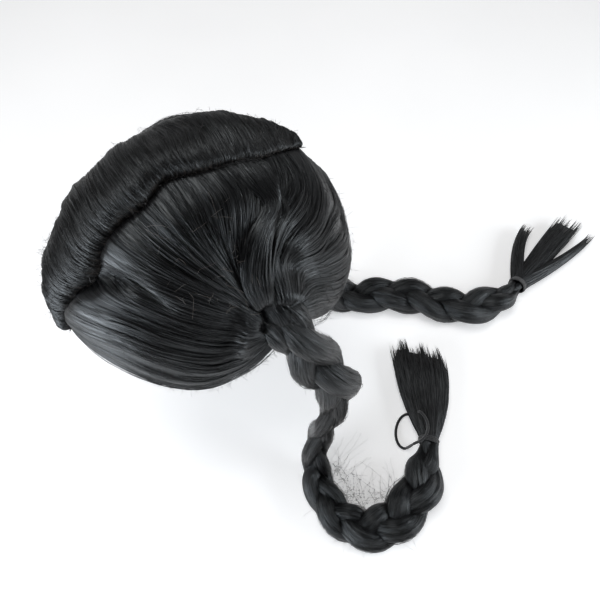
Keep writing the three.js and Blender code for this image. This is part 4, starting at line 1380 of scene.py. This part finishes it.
# Lamps: name, place, what they face, size, watts and colour
LAMPS = (
    ("ceiling", (-0.1, -0.1, 1.3), (0, 0.05, -0.2), 0.8, 10, (1.0, 0.99, 0.97)),
    ("window", (0.08, -0.85, -0.04), (0, 0, -0.14), 0.5, 6.5, (0.9, 0.95, 1.0)),
    ("low window", (0.24, -0.55, -0.17), (0.06, -0.08, -0.12), 0.3, 1.6, (0.9, 0.95, 1.0)),
    ("back window", (0.75, 0.75, 0.1), (0, 0, -0.14), 0.5, 6, (0.93, 0.97, 1.0)),
)


def lights():
    """Soft studio light: a ceiling panel, two windows before the face and one at the back."""
    for lamp in LAMPS:
        area_light(*lamp)
    bpy.context.scene.view_settings.view_transform = "Standard"


# Hairs of each side: its name, seed, columns of the sweep, and how many of each kind
KINDS = ("label", "seed", "columns", "loose", "stray", "nape", "brow", "plaited")
NEAR_HAIRS = dict(zip(KINDS, ("left", 3, 540, 1850, 90, 200, 100, 360)))
FAR_HAIRS = dict(zip(KINDS, ("right", 5, 360, 750, 40, 100, 50, 220)))


def dress_side(plait, hairs, material, plaited):
    """Swept hair and plait of one side."""
    label, seed = hairs["label"], hairs["seed"]
    node = f"hair_{label}"
    swept_hair(plait, hairs["columns"], seed).build(f"{node}_sweep", node, "hair", material)
    shape = Shape()
    loose_strands(plait, shape, hairs["loose"], seed)
    shape.build(f"{node}_strands", node, "hair", material)
    shape = Shape()
    if plait is NEAR:
        curved_lock(plait, shape, 420, seed + 2)
    feeds(plait, shape, 150, seed + 3)
    stray_hairs(plait, shape, hairs["stray"], seed + 1)
    tufts(plait, shape, hairs["nape"], (8.0, 9.8), (0.15, 0.9), 12, seed + 4, 0.6)
    tufts(plait, shape, hairs["brow"], (0.0, 0.3), (0.5, 1.0), 9, seed + 5, 0.5)
    if plait is NEAR:
        tufts(plait, shape, 70, (2.4, 5.0), (0.3, 0.85), 22, seed + 6, 0.25, 0.9)
    shape.build(f"{node}_locks", node, "hair", material)
    shape = plait_locks(plait, seed + 50)
    plait_strands(plait, shape, hairs["plaited"], seed + 55)
    plait_frizz(plait, shape, 90, seed + 56)
    if plait is NEAR:
        inner_frizz(plait, shape, 260, 60)
    shape.build(f"braid_{label}_hair", f"braid_{label}", "hair", plaited)


def dress_ends(loose):
    """Tails and elastics."""
    tail = Tail(NEAR, NEAR_TAIL, length=102, turn=10, opens=2.6, bend=-0.06)
    tail_shape(tail, [(0, 4)], 1150, 81).build("tail_left_hair", "tail_left", "hair", loose)
    tail = Tail(FAR, FAR_TAIL, length=112, turn=7, opens=1.6, bend=0.04)
    tail_shape(tail, [(0, 0), (1, 2), (3, 3)], 520, 91).build("tail_right_hair", "tail_right", "hair", loose)
    shape = wound_band(NEAR, 95)
    loose_loop(NEAR, shape)
    black = elastic_material("black_elastic", (0.008, 0.008, 0.009))
    shape.build("tie_left_elastic", "tie_left", "elastic", black)
    grey = elastic_material("grey_elastic", (0.06, 0.06, 0.062))
    wound_band(FAR, 96).build("tie_right_elastic", "tie_right", "elastic", grey)


# Looks of the hair: name, darkest and lightest tone, roughness, anisotropy, and whether painted shade darkens
# its reflections by height
HAIR_LOOKS = (
    ("swept_hair", (0.0012, 0.0012, 0.0014), (0.006, 0.0058, 0.006), 0.33, 0.8),
    ("plaited_hair", (0.0012, 0.0012, 0.0013), (0.007, 0.0068, 0.007), 0.3, 0.7, True),
    ("combed_hair", (0.002, 0.002, 0.002), (0.012, 0.0115, 0.0115), 0.46, 0.5),
    ("loose_hair", (0.003, 0.003, 0.003), (0.026, 0.0255, 0.026), 0.4, 0.6),
)


def main():
    swept, plaited, combed, loose = (hair_material(*look) for look in HAIR_LOOKS)
    dress_side(NEAR, NEAR_HAIRS, swept, plaited)
    dress_side(FAR, FAR_HAIRS, swept, plaited)
    shape = crest_base()
    crest_strands(shape, 1700, 31)
    crest_fuzz(shape, 560, 32)
    shape.build("crest_roll_hair", "crest_roll", "hair", combed)
    dress_ends(loose)
    cap_shape().build("cap_net_shell", "cap", "cap_net", net_material())
    camera()
    floor()
    room()
    lights()


main()
